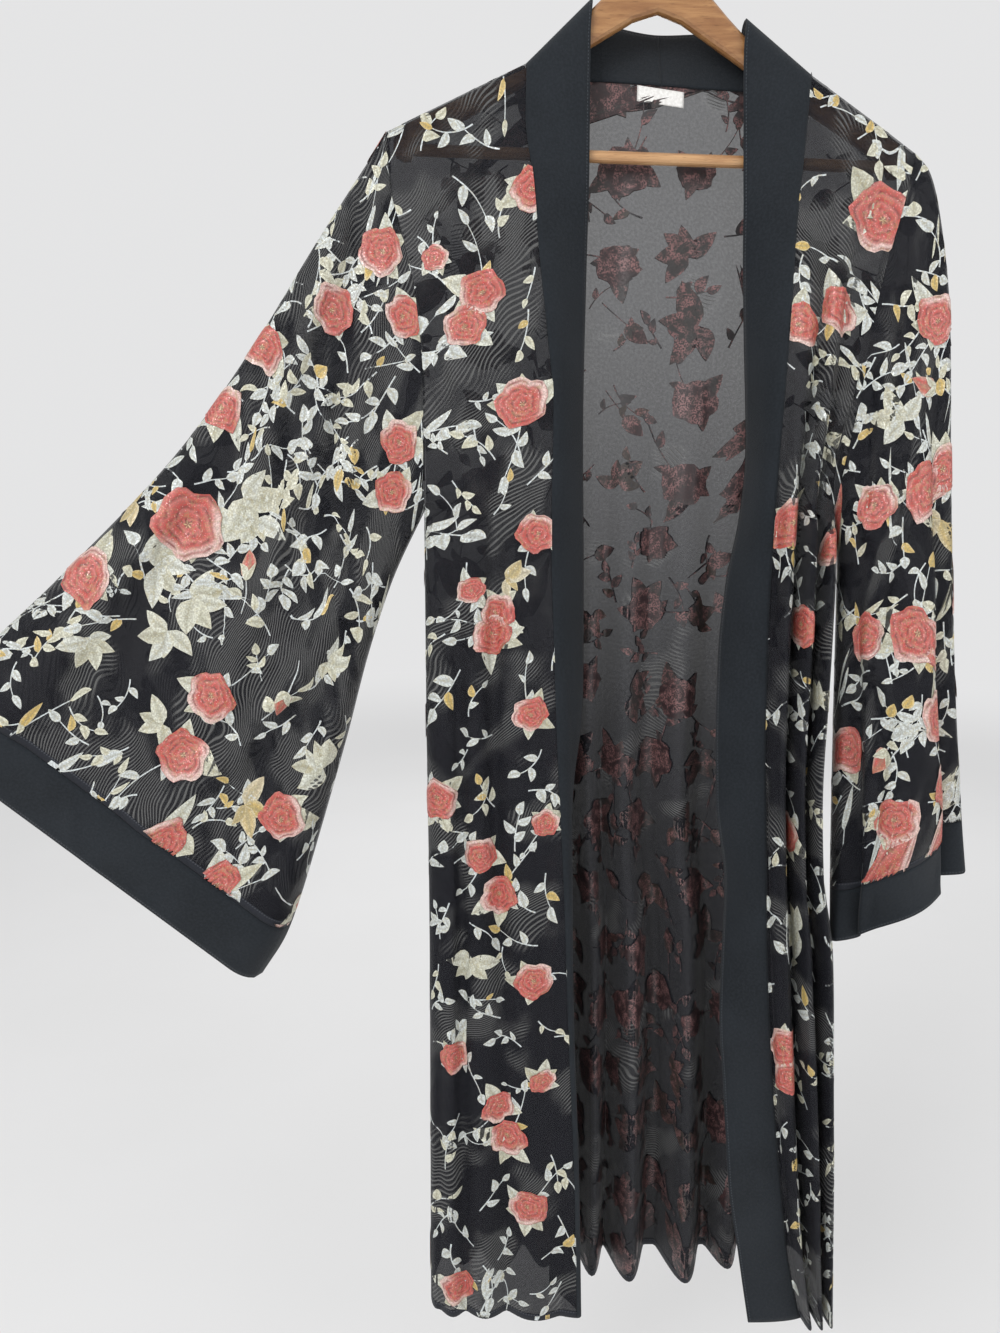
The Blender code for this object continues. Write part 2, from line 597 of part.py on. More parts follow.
def wood_outline():
    """Half outline of the hanger's arms, centre top round the tip to centre under."""
    top = [(0.0, -0.0790), (0.030, -0.0965), (0.058, -0.1245), (0.085, -0.1495), (0.110, -0.1702),
           (0.135, -0.1812), (0.165, -0.1957), (0.2065, -0.2162)]
    tip = [(0.2130, -0.2208), (0.2168, -0.2280), (0.2170, -0.2360), (0.2140, -0.2425)]
    heel = [(0.2080, -0.2455), (0.2015, -0.2450), (0.1975, -0.2340)]
    under = [(0.1500, -0.2062), (0.0750, -0.1630), (0.0200, -0.1295)]
    return top + tip + heel + under


def make_hanger(finish):
    half = wood_outline()
    outline = half + [(0.0, -0.1230)] + [(-x, z) for x, z in reversed(half[1:])]
    form = bmesh.new()
    corners = [form.verts.new((x, -WOOD_THICK / 2, z)) for x, z in outline]
    face = form.faces.new(corners)
    swept = bmesh.ops.extrude_face_region(form, geom=[face])
    moved = [item for item in swept["geom"] if isinstance(item, bmesh.types.BMVert)]
    bmesh.ops.translate(form, verts=moved, vec=(0.0, WOOD_THICK, 0.0))
    rims = [edge for edge in form.edges if abs(edge.verts[0].co.y - edge.verts[1].co.y) < 1e-6]
    bmesh.ops.bevel(form, geom=rims, offset=WOOD_ROUND, offset_type="OFFSET", segments=3, profile=0.5,
                    affect="EDGES", material=-1, clamp_overlap=True)
    bmesh.ops.recalc_face_normals(form, faces=form.faces)
    mesh = bpy.data.meshes.new("hanger_arms")
    form.to_mesh(mesh)
    form.free()
    mesh.shade_smooth()
    made = add_object("hanger_arms", mesh, finish)
    drill(made, "bar_bore", BAR_RADIUS + SEAM_GAP, (BAR_HALF + SEAM_GAP) * 2, (0.0, 0.0, BAR_Z), "X")
    drill(made, "shank_bore", HOOK_WIRE + SEAM_GAP, 0.04, (0.0, 0.0, SHANK_END_Z - SEAM_GAP + 0.02), "Z")
    return tilted(made)


def drill(target, name, radius, long, centre, axis):
    """Cut a round bore in a piece."""
    form = bmesh.new()
    bmesh.ops.create_cone(form, cap_ends=True, segments=16, radius1=radius, radius2=radius, depth=long)
    if axis == "X":
        bmesh.ops.rotate(form, verts=form.verts, matrix=Matrix.Rotation(math.pi / 2, 3, "Y"))
    bmesh.ops.translate(form, verts=form.verts, vec=centre)
    mesh = bpy.data.meshes.new(name)
    form.to_mesh(mesh)
    form.free()
    cutter = bpy.data.objects.new(name, mesh)
    bpy.context.scene.collection.objects.link(cutter)
    cutter.hide_render = True
    cutter.display_type = "WIRE"
    cut = target.modifiers.new(name, "BOOLEAN")
    cut.operation = "DIFFERENCE"
    cut.object = cutter
    cutter.data.transform(Matrix.Rotation(HANGER_TILT, 4, "Y"))


def make_bar(finish):
    form = bmesh.new()
    bmesh.ops.create_cone(form, cap_ends=True, segments=16, radius1=BAR_RADIUS, radius2=BAR_RADIUS,
                          depth=BAR_HALF * 2)
    bmesh.ops.rotate(form, verts=form.verts, matrix=Matrix.Rotation(math.pi / 2, 3, "Y"))
    bmesh.ops.translate(form, verts=form.verts, vec=(0.0, 0.0, BAR_Z))
    mesh = bpy.data.meshes.new("trouser_bar")
    form.to_mesh(mesh)
    form.free()
    tilted(add_object("trouser_bar", mesh, finish))


def hook_path():
    """Middle line of the hook: up the shank, across to the side and over the rail."""
    bend = HOOK_INSIDE + HOOK_WIRE
    points = [Vector((0.0, 0.0, z)) for z in (SHANK_END_Z, -0.075, SHANK_TOP_Z)]
    for degrees in range(-70, 211, 14):
        angle = math.radians(degrees)
        points.append(Vector((bend * math.cos(angle), 0.0, bend * math.sin(angle) - HOOK_INSIDE)))
    return points


def make_hook(finish):
    line = bpy.data.curves.new("hook", "CURVE")
    line.dimensions = "3D"
    line.bevel_depth = HOOK_WIRE
    line.bevel_resolution = 2
    line.use_fill_caps = True
    spline = line.splines.new("POLY")
    path = hook_path()
    spline.points.add(len(path) - 1)
    for point, spot in zip(spline.points, path):
        turned = Matrix.Rotation(HANGER_TILT, 3, "Y") @ spot
        point.co = (*turned, 1.0)
    made = bpy.data.objects.new("hook", line)
    bpy.context.scene.collection.objects.link(made)
    line.materials.append(finish)


def main():
    for old in list(bpy.data.objects):
        bpy.data.objects.remove(old, do_unlink=True)
    mesh_cloth = material("printed_mesh", (0.020, 0.022, 0.030), 0.55)
    band_cloth = material("plain_band", (0.018, 0.025, 0.034), 0.75)
    make_fronts(mesh_cloth)
    make_back(mesh_cloth)
    make_sleeve("sleeve_left", "cuff_left", spread_sleeve, mesh_cloth, band_cloth)
    make_sleeve("sleeve_right", "cuff_right", hanging_sleeve, mesh_cloth, band_cloth)
    make_bands(band_cloth)
    make_label(material("label_satin", (0.80, 0.79, 0.77), 0.45))
    wood = material("varnished_wood", (0.42, 0.20, 0.07), 0.35)
    make_hanger(wood)
    make_bar(material("bar_wood", (0.50, 0.27, 0.11), 0.38))
    make_hook(material("hook_steel", (0.62, 0.62, 0.63), 0.25, 1.0))


main()
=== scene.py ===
"""Looks of a sheer, printed kimono coat on its wooden hanger.

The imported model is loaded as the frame. Every cloth piece is laid again through the
same surfaces as its solid, finely, with its soft creases, and the print is laid on it.
"""
import bisect
import math
import random
from collections import namedtuple

import bmesh
import bpy
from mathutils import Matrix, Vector


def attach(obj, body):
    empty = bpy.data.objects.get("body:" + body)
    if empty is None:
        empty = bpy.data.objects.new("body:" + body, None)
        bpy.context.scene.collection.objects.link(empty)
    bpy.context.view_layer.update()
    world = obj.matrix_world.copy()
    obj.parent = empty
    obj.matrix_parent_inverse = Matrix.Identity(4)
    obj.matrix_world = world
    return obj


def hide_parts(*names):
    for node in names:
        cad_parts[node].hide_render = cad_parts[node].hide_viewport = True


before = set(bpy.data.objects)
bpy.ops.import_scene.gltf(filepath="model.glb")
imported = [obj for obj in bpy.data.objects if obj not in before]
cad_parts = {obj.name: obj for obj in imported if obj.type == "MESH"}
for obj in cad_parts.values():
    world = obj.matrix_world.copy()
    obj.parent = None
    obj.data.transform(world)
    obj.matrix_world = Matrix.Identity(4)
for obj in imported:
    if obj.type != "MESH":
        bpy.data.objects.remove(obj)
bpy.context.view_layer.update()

# Cloth
CLOTH = 0.0012
BAND_CLOTH = 0.0016
LABEL_CLOTH = 0.0006
SEAM_GAP = 0.0003
BAND_TUCK = 0.0005
ARMHOLE_GAP = 0.0001
UNDERARM_GAP = 0.0007

# How the cloth turns over the hanger's arms and round the side seams
OVER_WOOD_DEEP = 0.0098
OVER_WOOD_DROP = 0.0088
SIDE_TURN = 0.008
ARMHOLE_EASE = 0.035

# Shares of a panel's length: over the hanger's arm, then the armhole, then the skirt
OVER_WOOD = 0.03
ARMHOLE = 0.36
UNDERARM_Z = -0.529
FRONT_HEM_Z = -1.303
BACK_HEM_Z = -1.308

# Cuffs, bands and label
CUFF_WIDE = 0.055
BAND_LEAD = 0.014
NECK_MIDDLE_X = 0.002
LABEL_LEFT, LABEL_RIGHT = -0.0185, 0.0215
LABEL_LONG = 0.0155
LABEL_ROWS = 0.94

Rail = namedtuple("Rail", "z x")
Depth = namedtuple("Depth", "z seam middle")
Fold = namedtuple("Fold", "at wide deep starts full")
Edge = namedtuple("Edge", "z x y rise")
Neck = namedtuple("Neck", "x z y edge_x edge_y edge_z")
Sleeve = namedtuple("Sleeve", "t top_x top_z under_x under_z front back")
Hang = namedtuple("Hang", "t across down round")
Lobe = namedtuple("Lobe", "at wide out")
Crease = namedtuple("Crease", "t0 q0 t1 q1 wide high")


def table(kind, rows):
    return [kind(*row) for row in rows]



# Band seam and side line of the fronts, shoulder to hem
SEAM_LEFT = table(Rail, [
    (-0.1617, -0.1125), (-0.2052, -0.1134), (-0.2546, -0.1069), (-0.3165, -0.1014), (-0.3789, -0.0946),
    (-0.4421, -0.0889), (-0.5418, -0.0900), (-0.6649, -0.0865), (-0.7677, -0.0822), (-0.8636, -0.0769),
    (-1.0138, -0.0709), (-1.1534, -0.0643), (-1.3080, -0.0600),
])
SEAM_RIGHT = table(Rail, [
    (-0.1702, 0.1225), (-0.2348, 0.1182), (-0.2965, 0.1134), (-0.3525, 0.1115), (-0.5314, 0.1028),
    (-0.6308, 0.1002), (-0.7217, 0.1010), (-0.8387, 0.1060), (-0.9200, 0.1095), (-1.0397, 0.1180),
    (-1.1505, 0.1297), (-1.2359, 0.1407), (-1.3080, 0.1560),
])
SIDE_LEFT = table(Rail, [
    (-0.2149, -0.2294), (-0.2600, -0.2270), (-0.3000, -0.2170), (-0.3523, -0.2065), (-0.4200, -0.2015),
    (-0.5290, -0.2017), (-0.7000, -0.2018), (-0.8900, -0.2010), (-1.0960, -0.2021), (-1.3080, -0.2035),
])
SIDE_RIGHT = table(Rail, [
    (-0.2315, 0.2130), (-0.2700, 0.2060), (-0.3200, 0.1940), (-0.3670, 0.1850), (-0.4260, 0.1780),
    (-0.5290, 0.1620), (-0.6000, 0.1640), (-0.7000, 0.1620), (-0.7700, 0.1600), (-0.8500, 0.1640),
    (-0.9400, 0.1780), (-1.0400, 0.1836), (-1.2000, 0.1890), (-1.3080, 0.1900),
])

# How far each panel stands from the hanger's plane
FRONT_DEPTH = table(Depth, [
    (-0.16, 0.0098, 0.0098), (-0.24, 0.0130, 0.0120), (-0.32, 0.0180, 0.0145), (-0.45, 0.0230, 0.0170),
    (-0.67, 0.0280, 0.0200), (-1.00, 0.0320, 0.0220), (-1.31, 0.0340, 0.0230),
])
BACK_DEPTH = table(Depth, [
    (-0.16, 0.0135, 0.0100), (-0.24, 0.0160, 0.0140), (-0.40, 0.0280, 0.0280), (-0.67, 0.0440, 0.0440),
    (-1.00, 0.0590, 0.0590), (-1.31, 0.0720, 0.0720),
])

# Folds that hang down each panel: place across, width, depth, and the heights
# where a fold starts and where it has its full depth
FOLDS_LEFT = table(Fold, [
    (0.30, 0.19, 0.014, -0.26, -0.95), (0.62, 0.15, 0.012, -0.34, -0.80), (0.84, 0.09, 0.010, -0.56, -1.10),
])
FOLDS_RIGHT = table(Fold, [
    (0.20, 0.15, 0.022, -0.24, -0.62), (0.50, 0.14, 0.026, -0.22, -0.55), (0.79, 0.13, 0.024, -0.30, -0.66),
])
FOLDS_BACK = table(Fold, [
    (0.075, 0.050, 0.030, -0.55, -1.20), (0.175, 0.060, 0.040, -0.42, -1.30),
    (0.290, 0.050, 0.034, -0.50, -1.20), (0.415, 0.038, 0.046, -0.36, -1.30),
    (0.510, 0.055, 0.054, -0.28, -1.32), (0.655, 0.060, 0.056, -0.26, -1.32),
    (0.775, 0.045, 0.036, -0.44, -1.25), (0.895, 0.055, 0.040, -0.38, -1.30),
])

# Free edge of the band beside each front, read by the height of its seam
EDGE_LEFT = table(Edge, [
    (-0.1617, -0.0589, -0.0105, 0.0499), (-0.1800, -0.0605, -0.0110, 0.0360),
    (-0.2100, -0.0604, -0.0100, 0.0200), (-0.2600, -0.0602, -0.0085, 0.0080),
    (-0.3165, -0.0606, 0.0060, 0.0020), (-0.4421, -0.0612, 0.0190, 0.0), (-0.5884, -0.0592, 0.0160, 0.0),
    (-0.7000, -0.0585, 0.0140, 0.0), (-0.7938, -0.0681, 0.0120, 0.0), (-0.8829, -0.0745, 0.0120, 0.0),
    (-1.0138, -0.0830, 0.0110, 0.0), (-1.3080, -0.0850, 0.0070, 0.0),
])
EDGE_RIGHT = table(Edge, [
    (-0.1702, 0.0683, -0.0105, 0.0431), (-0.1850, 0.0660, -0.0110, 0.0330),
    (-0.2348, 0.0685, -0.0090, 0.0100), (-0.2700, 0.0700, -0.0085, 0.0040), (-0.3200, 0.0750, 0.0050, 0.0),
    (-0.3800, 0.0800, 0.013, 0.0), (-0.4853, 0.0865, 0.019, 0.0), (-0.5332, 0.0828, 0.018, 0.0),
    (-0.5971, 0.0693, 0.006, 0.0), (-0.6571, 0.0635, 0.000, 0.0), (-0.7270, 0.0623, -0.005, 0.0),
    (-0.7857, 0.0631, -0.010, 0.0), (-0.8800, 0.0765, -0.001, 0.0), (-0.9943, 0.0717, -0.017, 0.0),
    (-1.0768, 0.0776, -0.020, 0.0), (-1.1541, 0.0814, -0.032, 0.0), (-1.2416, 0.0950, -0.032, 0.0),
    (-1.3080, 0.1050, -0.040, 0.0),
])

# Back neck seam, and the band's free edge above it, shoulder to shoulder
NECK = table(Neck, [
    (-0.1125, -0.1705, 0.0098, -0.0585, 0.0105, -0.1190),
    (-0.1000, -0.1693, 0.0118, -0.0560, 0.0165, -0.1180),
    (-0.0750, -0.1685, 0.0132, -0.0465, 0.0240, -0.1180),
    (-0.0400, -0.1695, 0.0135, -0.0290, 0.0300, -0.1215), (0.0020, -0.1720, 0.0140, 0.0020, 0.0330, -0.1250),
    (0.0500, -0.1755, 0.0135, 0.0330, 0.0300, -0.1255), (0.0850, -0.1775, 0.0132, 0.0540, 0.0240, -0.1275),
    (0.1100, -0.1788, 0.0118, 0.0640, 0.0165, -0.1305), (0.1225, -0.1790, 0.0098, 0.0679, 0.0105, -0.1345),
])

# Spread sleeve: fold lines at the top and under the arm, and how far it fills out
SPREAD = table(Sleeve, [
    (0.00, -0.2294, -0.2149, -0.2017, -0.5290, 0.0098, 0.0098),
    (0.15, -0.2872, -0.2987, -0.2316, -0.5910, 0.0160, 0.0110),
    (0.30, -0.3426, -0.3831, -0.2542, -0.6560, 0.0210, 0.0110),
    (0.47, -0.4106, -0.4736, -0.2748, -0.7313, 0.0250, 0.0100),
    (0.68, -0.5082, -0.5726, -0.3023, -0.8240, 0.0290, 0.0090),
    (0.81, -0.5697, -0.6287, -0.3201, -0.8809, 0.0320, 0.0090),
    (0.91, -0.6213, -0.6703, -0.3356, -0.9215, 0.0340, 0.0100),
    (1.00, -0.6710, -0.7085, -0.3589, -0.9585, 0.0300, 0.0120),
])
SPREAD_CREASES = table(Crease, [
    (0.00, 0.06, 0.42, 0.30, 0.070, 0.010), (0.02, 0.30, 0.75, 0.62, 0.080, 0.009),
    (0.25, 0.85, 0.95, 0.55, 0.070, 0.010), (0.45, 0.10, 1.00, 0.20, 0.080, 0.010),
])

# Hanging sleeve: how far it has moved across, down and round at each share of its length
HANG = table(Hang, [
    (0.00, 0.000, 0.00, 0.00), (0.04, 0.150, 0.022, 0.06), (0.10, 0.275, 0.075, 0.16),
    (0.22, 0.430, 0.20, 0.34), (0.42, 0.540, 0.41, 0.60), (0.62, 0.660, 0.62, 0.80),
    (0.80, 0.800, 0.81, 0.94), (1.00, 1.000, 1.00, 1.00),
])
HEM_CENTRE_X, HEM_CENTRE_Y = 0.2385, -0.004
HEM_HALF_X, HEM_HALF_Y = 0.0600, 0.0440
HEM_TOP_Z, HEM_UNDER_Z = -0.860, -0.930
LOBES = table(Lobe, [
    (0.110, 0.060, -0.46), (0.250, 0.110, 0.22), (0.410, 0.050, -0.30), (0.600, 0.060, -0.42),
    (0.690, 0.060, 0.24), (0.790, 0.060, -0.48), (0.890, 0.060, 0.22),
])
CUFF_TUCK = 0.024


def reading(rows, key, column, at):
    """Read a table's column at a value of its key, on a curve that never overshoots."""
    pairs = sorted((getattr(row, key), getattr(row, column)) for row in rows)
    keys = [pair[0] for pair in pairs]
    values = [pair[1] for pair in pairs]
    last = len(keys) - 1
    at = min(max(at, keys[0]), keys[last])
    k = 0
    while k < last - 1 and at > keys[k + 1]:
        k += 1
    slopes = [(values[i + 1] - values[i]) / (keys[i + 1] - keys[i]) for i in range(last)]

    def lean(i):
        if i == 0:
            return slopes[0]
        if i == last:
            return slopes[last - 1]
        if slopes[i - 1] * slopes[i] <= 0:
            return 0.0
        return 2.0 * slopes[i - 1] * slopes[i] / (slopes[i - 1] + slopes[i])

    span = keys[k + 1] - keys[k]
    u = (at - keys[k]) / span
    return (values[k] * (1 + 2 * u) * (1 - u) ** 2 + lean(k) * span * u * (1 - u) ** 2
            + values[k + 1] * u * u * (3 - 2 * u) - lean(k + 1) * span * u * u * (1 - u))


def mix(a, b, share):
    return a + (b - a) * share


def ease(share):
    share = min(max(share, 0.0), 1.0)
    return share * share * (3 - 2 * share)


def bump(distance, wide):
    """A soft ridge of height 1, nothing beyond its width."""
    share = abs(distance) / wide
    return math.cos(share * math.pi / 2) ** 2 if share < 1 else 0.0


def quarter(share):
    """Quarter round: 0 at its edge, 1 where it has turned."""
    share = min(max(share, 0.0), 1.0)
    return math.sqrt(1 - (1 - share) ** 2)


def fold_height(folds, across, z):
    """How far the hanging folds stand out at a place on a panel."""
    high = 0.0
    for fold in folds:
        grown = min(max((fold.starts - z) / (fold.starts - fold.full), 0.0), 1.0)
        high += fold.deep * bump(across - fold.at, fold.wide) ** 0.6 * mix(grown, ease(grown), 0.5)
    return high


def level(t, top_z, arm_z, hem, drop=OVER_WOOD_DROP):
    """Height at a share of a panel's length, and how far it has turned over the wood."""
    if t < OVER_WOOD:
        angle = t / OVER_WOOD * math.pi / 2
        return top_z - drop * (1 - math.cos(angle)), math.sin(angle)
    start = top_z - drop
    if t < ARMHOLE:
        return mix(start, arm_z, (t - OVER_WOOD) / (ARMHOLE - OVER_WOOD)), 1.0
    return mix(arm_z, hem, (t - ARMHOLE) / (1 - ARMHOLE)), 1.0


def arm_depth(z):
    """Half depth of the armhole, closing where it meets the side seam."""
    return OVER_WOOD_DEEP * quarter((z - UNDERARM_Z) / 0.045)


def side_rest(z):
    """Smallest half depth at a side: flat walls just clear, or edges of a round turn meeting."""
    return mix((CLOTH + SEAM_GAP) / 2, SEAM_GAP / 2, ease((UNDERARM_Z - z) / 0.02))


def side_closing(from_side, z, turn):
    """How far a panel has left its side: softly at the armhole, round at the side seam."""
    return mix(ease(from_side / ARMHOLE_EASE), quarter(from_side / turn), ease((UNDERARM_Z - z) / 0.02))


def front(side, across, t):
    """Middle surface of a front: across from the band seam to the side, t down."""
    left = side < 0
    seam, edge, folds = (SEAM_LEFT, SIDE_LEFT, FOLDS_LEFT) if left else (SEAM_RIGHT, SIDE_RIGHT, FOLDS_RIGHT)
    seam_z, turned = level(t, seam[0].z, UNDERARM_Z, FRONT_HEM_Z)
    side_z, turned = level(t, edge[0].z, UNDERARM_Z, FRONT_HEM_Z)
    seam_x = reading(seam, "z", "x", seam_z)
    side_x = reading(edge, "z", "x", side_z)
    z = mix(seam_z, side_z, across)
    at_seam, at_middle = (reading(FRONT_DEPTH, "z", column, z) for column in ("seam", "middle"))
    depth = mix(at_seam, at_middle, ease(across * 3)) + fold_height(folds, across, z)
    closing = side_closing((1 - across) * abs(side_x - seam_x), side_z, SIDE_TURN)
    ends = max(arm_depth(side_z), side_rest(side_z))
    return Vector((mix(seam_x, side_x, across), -turned * mix(ends, depth, closing), z))


def across_at(x):
    """Share of the back's top edge at a place across."""
    return (x - SIDE_LEFT[0].x) / (SIDE_RIGHT[0].x - SIDE_LEFT[0].x)


def back_top(across):
    """Top edge of the back: shoulder, back neck, shoulder."""
    left, right = SIDE_LEFT[0], SIDE_RIGHT[0]
    x = mix(left.x, right.x, across)
    if x <= NECK[0].x + 1e-6:
        share = (x - left.x) / (NECK[0].x - left.x)
        return Vector((x, 0.0, mix(left.z, SEAM_LEFT[0].z, share)))
    if x >= NECK[-1].x - 1e-6:
        share = (right.x - x) / (right.x - NECK[-1].x)
        return Vector((x, 0.0, mix(right.z, SEAM_RIGHT[0].z, share)))
    return Vector((x, reading(NECK, "x", "y", x), reading(NECK, "x", "z", x)))


def back(across, t):
    """Middle surface of the back: across from the left side to the right, t down."""
    top = back_top(across)
    neck = top.y > 0
    z, turned = level(t, top.z, UNDERARM_Z, BACK_HEM_Z, 0.0 if neck else OVER_WOOD_DROP)
    left_z = level(t, SIDE_LEFT[0].z, UNDERARM_Z, BACK_HEM_Z)[0]
    right_z = level(t, SIDE_RIGHT[0].z, UNDERARM_Z, BACK_HEM_Z)[0]
    left_x = reading(SIDE_LEFT, "z", "x", left_z)
    right_x = reading(SIDE_RIGHT, "z", "x", right_z)
    in_neck = ease((top.x - NECK[0].x) / 0.02) * ease((NECK[-1].x - top.x) / 0.02)
    depth = mix(reading(BACK_DEPTH, "z", "middle", z), reading(BACK_DEPTH, "z", "seam", z), in_neck)
    depth -= fold_height(FOLDS_BACK, across, z)
    wide = right_x - left_x
    from_side = min(across, 1 - across) * wide
    near_z = left_z if across < 0.5 else right_z
    ends = max(arm_depth(near_z), side_rest(near_z))
    turn = SIDE_TURN * mix(1.0, 2.5, ease((UNDERARM_Z - z) / 0.3))
    y = mix(ends, depth, side_closing(from_side, near_z, turn))
    if neck:
        turned = ease((t - OVER_WOOD) / 0.08)
    x = mix(left_x, right_x, across)
    from_tip = min(across / across_at(NECK[0].x), (1 - across) / (1 - across_at(NECK[-1].x)), 1.0)
    x = mix(x, top.x, from_tip * (1 - ease((t - OVER_WOOD) / 0.08)))
    return Vector((x, mix(top.y, y, turned), z))


def armhole(side, q, facing):
    """Armhole seam: q from the shoulder to the underarm, facing -1 front or 1 back."""
    across = 0.0 if side < 0 else 1.0
    t = q * ARMHOLE
    spot = front(side, 1.0, t) if facing < 0 else back(across, t)
    if q > 0.999:
        spot.y = 0.0
    return spot


def armhole_clear(q, t):
    """How far a sleeve stands off its armhole: more under the arm, where walls run side by side."""
    return mix(ARMHOLE_GAP, UNDERARM_GAP, ease((q - 0.75) / 0.2)) * (1 - ease(t * 3))


def round_place(around):
    """Share down the armhole and side faced, at a share of the way round a sleeve."""
    return (around * 2, -1) if around <= 0.5 else (2 - around * 2, 1)


def crease_height(t, q):
    """How far the spread sleeve's broad folds stand out at a place."""
    high = 0.0
    for crease in SPREAD_CREASES:
        run = Vector((crease.t1 - crease.t0, crease.q1 - crease.q0))
        place = Vector((t - crease.t0, q - crease.q0))
        along = min(max(place.dot(run) / run.length_squared, 0.0), 1.0)
        off = (place - run * along).length
        high += crease.high * bump(off, crease.wide) * math.sin(math.pi * mix(0.15, 0.95, along))
    return high


def spread_sleeve(around, t):
    """Left sleeve, laid out: a flattened tube from the armhole to the cuff's edge."""
    q, facing = round_place(around)
    start = armhole(-1, q, facing)
    top = Vector((reading(SPREAD, "t", "top_x", t), 0.0, reading(SPREAD, "t", "top_z", t)))
    under = Vector((reading(SPREAD, "t", "under_x", t), 0.0, reading(SPREAD, "t", "under_z", t)))
    place = top.lerp(under, q)
    first = Vector((SPREAD[0].top_x, 0.0, SPREAD[0].top_z)).lerp(
        Vector((SPREAD[0].under_x, 0.0, SPREAD[0].under_z)), q)
    place += (start - first) * (1 - ease(t * 3))
    column = "front" if facing < 0 else "back"
    deep = reading(SPREAD, "t", column, t)
    closing = quarter(q * 18) * quarter((1 - q) * 14)
    if facing < 0:
        deep += crease_height(t, q)
    deep = mix(abs(start.y), deep * closing, ease(t * 4))
    clear = armhole_clear(q, t)
    return Vector((place.x - clear, facing * deep - 0.012 * ease(t), place.z))


def hem_lobes(around):
    return 1 + sum(lobe.out * bump(around - lobe.at, lobe.wide) for lobe in LOBES)


def hanging_sleeve(around, t):
    """Right sleeve, hanging: a tube that turns down from the armhole in deep folds."""
    q, facing = round_place(around)
    start = armhole(1, q, facing)
    angle = around * 2 * math.pi
    lobes = mix(1.0, hem_lobes(around), ease(t * 1.6))
    hem = Vector((HEM_CENTRE_X + HEM_HALF_X * lobes * math.cos(angle),
                  HEM_CENTRE_Y - HEM_HALF_Y * lobes * math.sin(angle),
                  mix(HEM_UNDER_Z, HEM_TOP_Z, (1 + math.cos(angle)) / 2)))
    across = reading(HANG, "t", "across", t)
    down = reading(HANG, "t", "down", t)
    turned = reading(HANG, "t", "round", t)
    tuck = CUFF_TUCK * ease((t - 0.80) / 0.20) * max(math.sin(angle), 0.0)
    clear = armhole_clear(q, t)
    return Vector((mix(start.x, hem.x, across) + clear, mix(start.y, hem.y, turned) + tuck,
                   mix(start.z, hem.z, down)))


def cuff_share(sleeve, around):
    """Share of a sleeve's length where its cuff starts."""
    long = (sleeve(around, 1.0) - sleeve(around, 0.0)).length
    return 1 - CUFF_WIDE / long


def outward(surface, u, v, du, dv):
    """Unit direction in a surface, square to its edge and leading off it."""
    here = surface(u, v)
    along = surface(u + dv * 0.004, v + du * 0.004) - here
    inward = surface(u + du * 0.02, v + dv * 0.02) - here
    inward -= along * (inward.dot(along) / along.length_squared)
    return -inward.normalized()


def band(side, w, across):
    """Middle surface of a band: w from the hem (0) by the shoulder (1) to mid back (2)."""
    rows = EDGE_LEFT if side < 0 else EDGE_RIGHT
    if w < 1:
        t = 1 - w
        seam = front(side, 0.0, t)
        edge = Vector((reading(rows, "z", "x", seam.z), reading(rows, "z", "y", seam.z),
                       seam.z + reading(rows, "z", "rise", seam.z)))
        turned = level(t, seam.z, UNDERARM_Z, FRONT_HEM_Z)[1]
        edge.y *= turned
        straight = (edge - seam).normalized()
        away = outward(lambda a, b: front(side, a, b), 0.0, max(t, 0.001), 1, 0)
        away = straight.lerp(away, ease((t - OVER_WOOD) / 0.05)).normalized()
    else:
        corner = NECK[0] if side < 0 else NECK[-1]
        x = mix(corner.x, NECK_MIDDLE_X, max(w - 1 - OVER_WOOD, 0.0) / (1 - OVER_WOOD))
        seam = Vector([reading(NECK, "x", column, x) for column in ("x", "y", "z")])
        edge = Vector([reading(NECK, "x", column, x) for column in ("edge_x", "edge_y", "edge_z")])
        if w < 1 + OVER_WOOD:
            shoulder = rows[0]
            top_z, turned = level(w - 1, shoulder.z, UNDERARM_Z, BACK_HEM_Z)
            share = (shoulder.z - top_z) / OVER_WOOD_DROP
            seam = Vector((corner.x, corner.y * turned, top_z))
            edge = Vector((mix(shoulder.x, edge.x, share), edge.y * turned,
                           mix(shoulder.z + shoulder.rise, edge.z, share)))
        away = (edge - seam).normalized()
    lead = seam + away * BAND_LEAD
    start = seam - away * BAND_TUCK
    return start * (1 - across) ** 2 + lead * 2 * across * (1 - across) + edge * across ** 2


def even(first, last, count):
    return [mix(first, last, k / count) for k in range(count + 1)]


# The photograph's view

PHOTO_WIDE, PHOTO_HIGH, PHOTO_FOCUS = 1000, 1333, 1000.0
CAMERA_AT = Vector((-0.135, -0.900, -0.535))
CAMERA_DOWN = math.radians(8.5)
FLOOR_Z = -1.56


def photo_place(spot):
    """Where a point shows in the photograph, across and down, and how far off it is."""
    ray = spot - CAMERA_AT
    ahead = ray.y * math.cos(CAMERA_DOWN) - ray.z * math.sin(CAMERA_DOWN)
    up = ray.y * math.sin(CAMERA_DOWN) + ray.z * math.cos(CAMERA_DOWN)
    return PHOTO_WIDE / 2 + PHOTO_FOCUS * ray.x / ahead, PHOTO_HIGH / 2 - PHOTO_FOCUS * up / ahead, ahead


# Cloth, laid finely

# How far from its top and from its other edges a piece's creases have faded out
FADE_TOP, FADE_EDGE = 0.03, 0.015

Wrinkle = namedtuple("Wrinkle", "u0 v0 u1 v1 wide high")
Laid = namedtuple("Laid", "rows normals across down long closed")

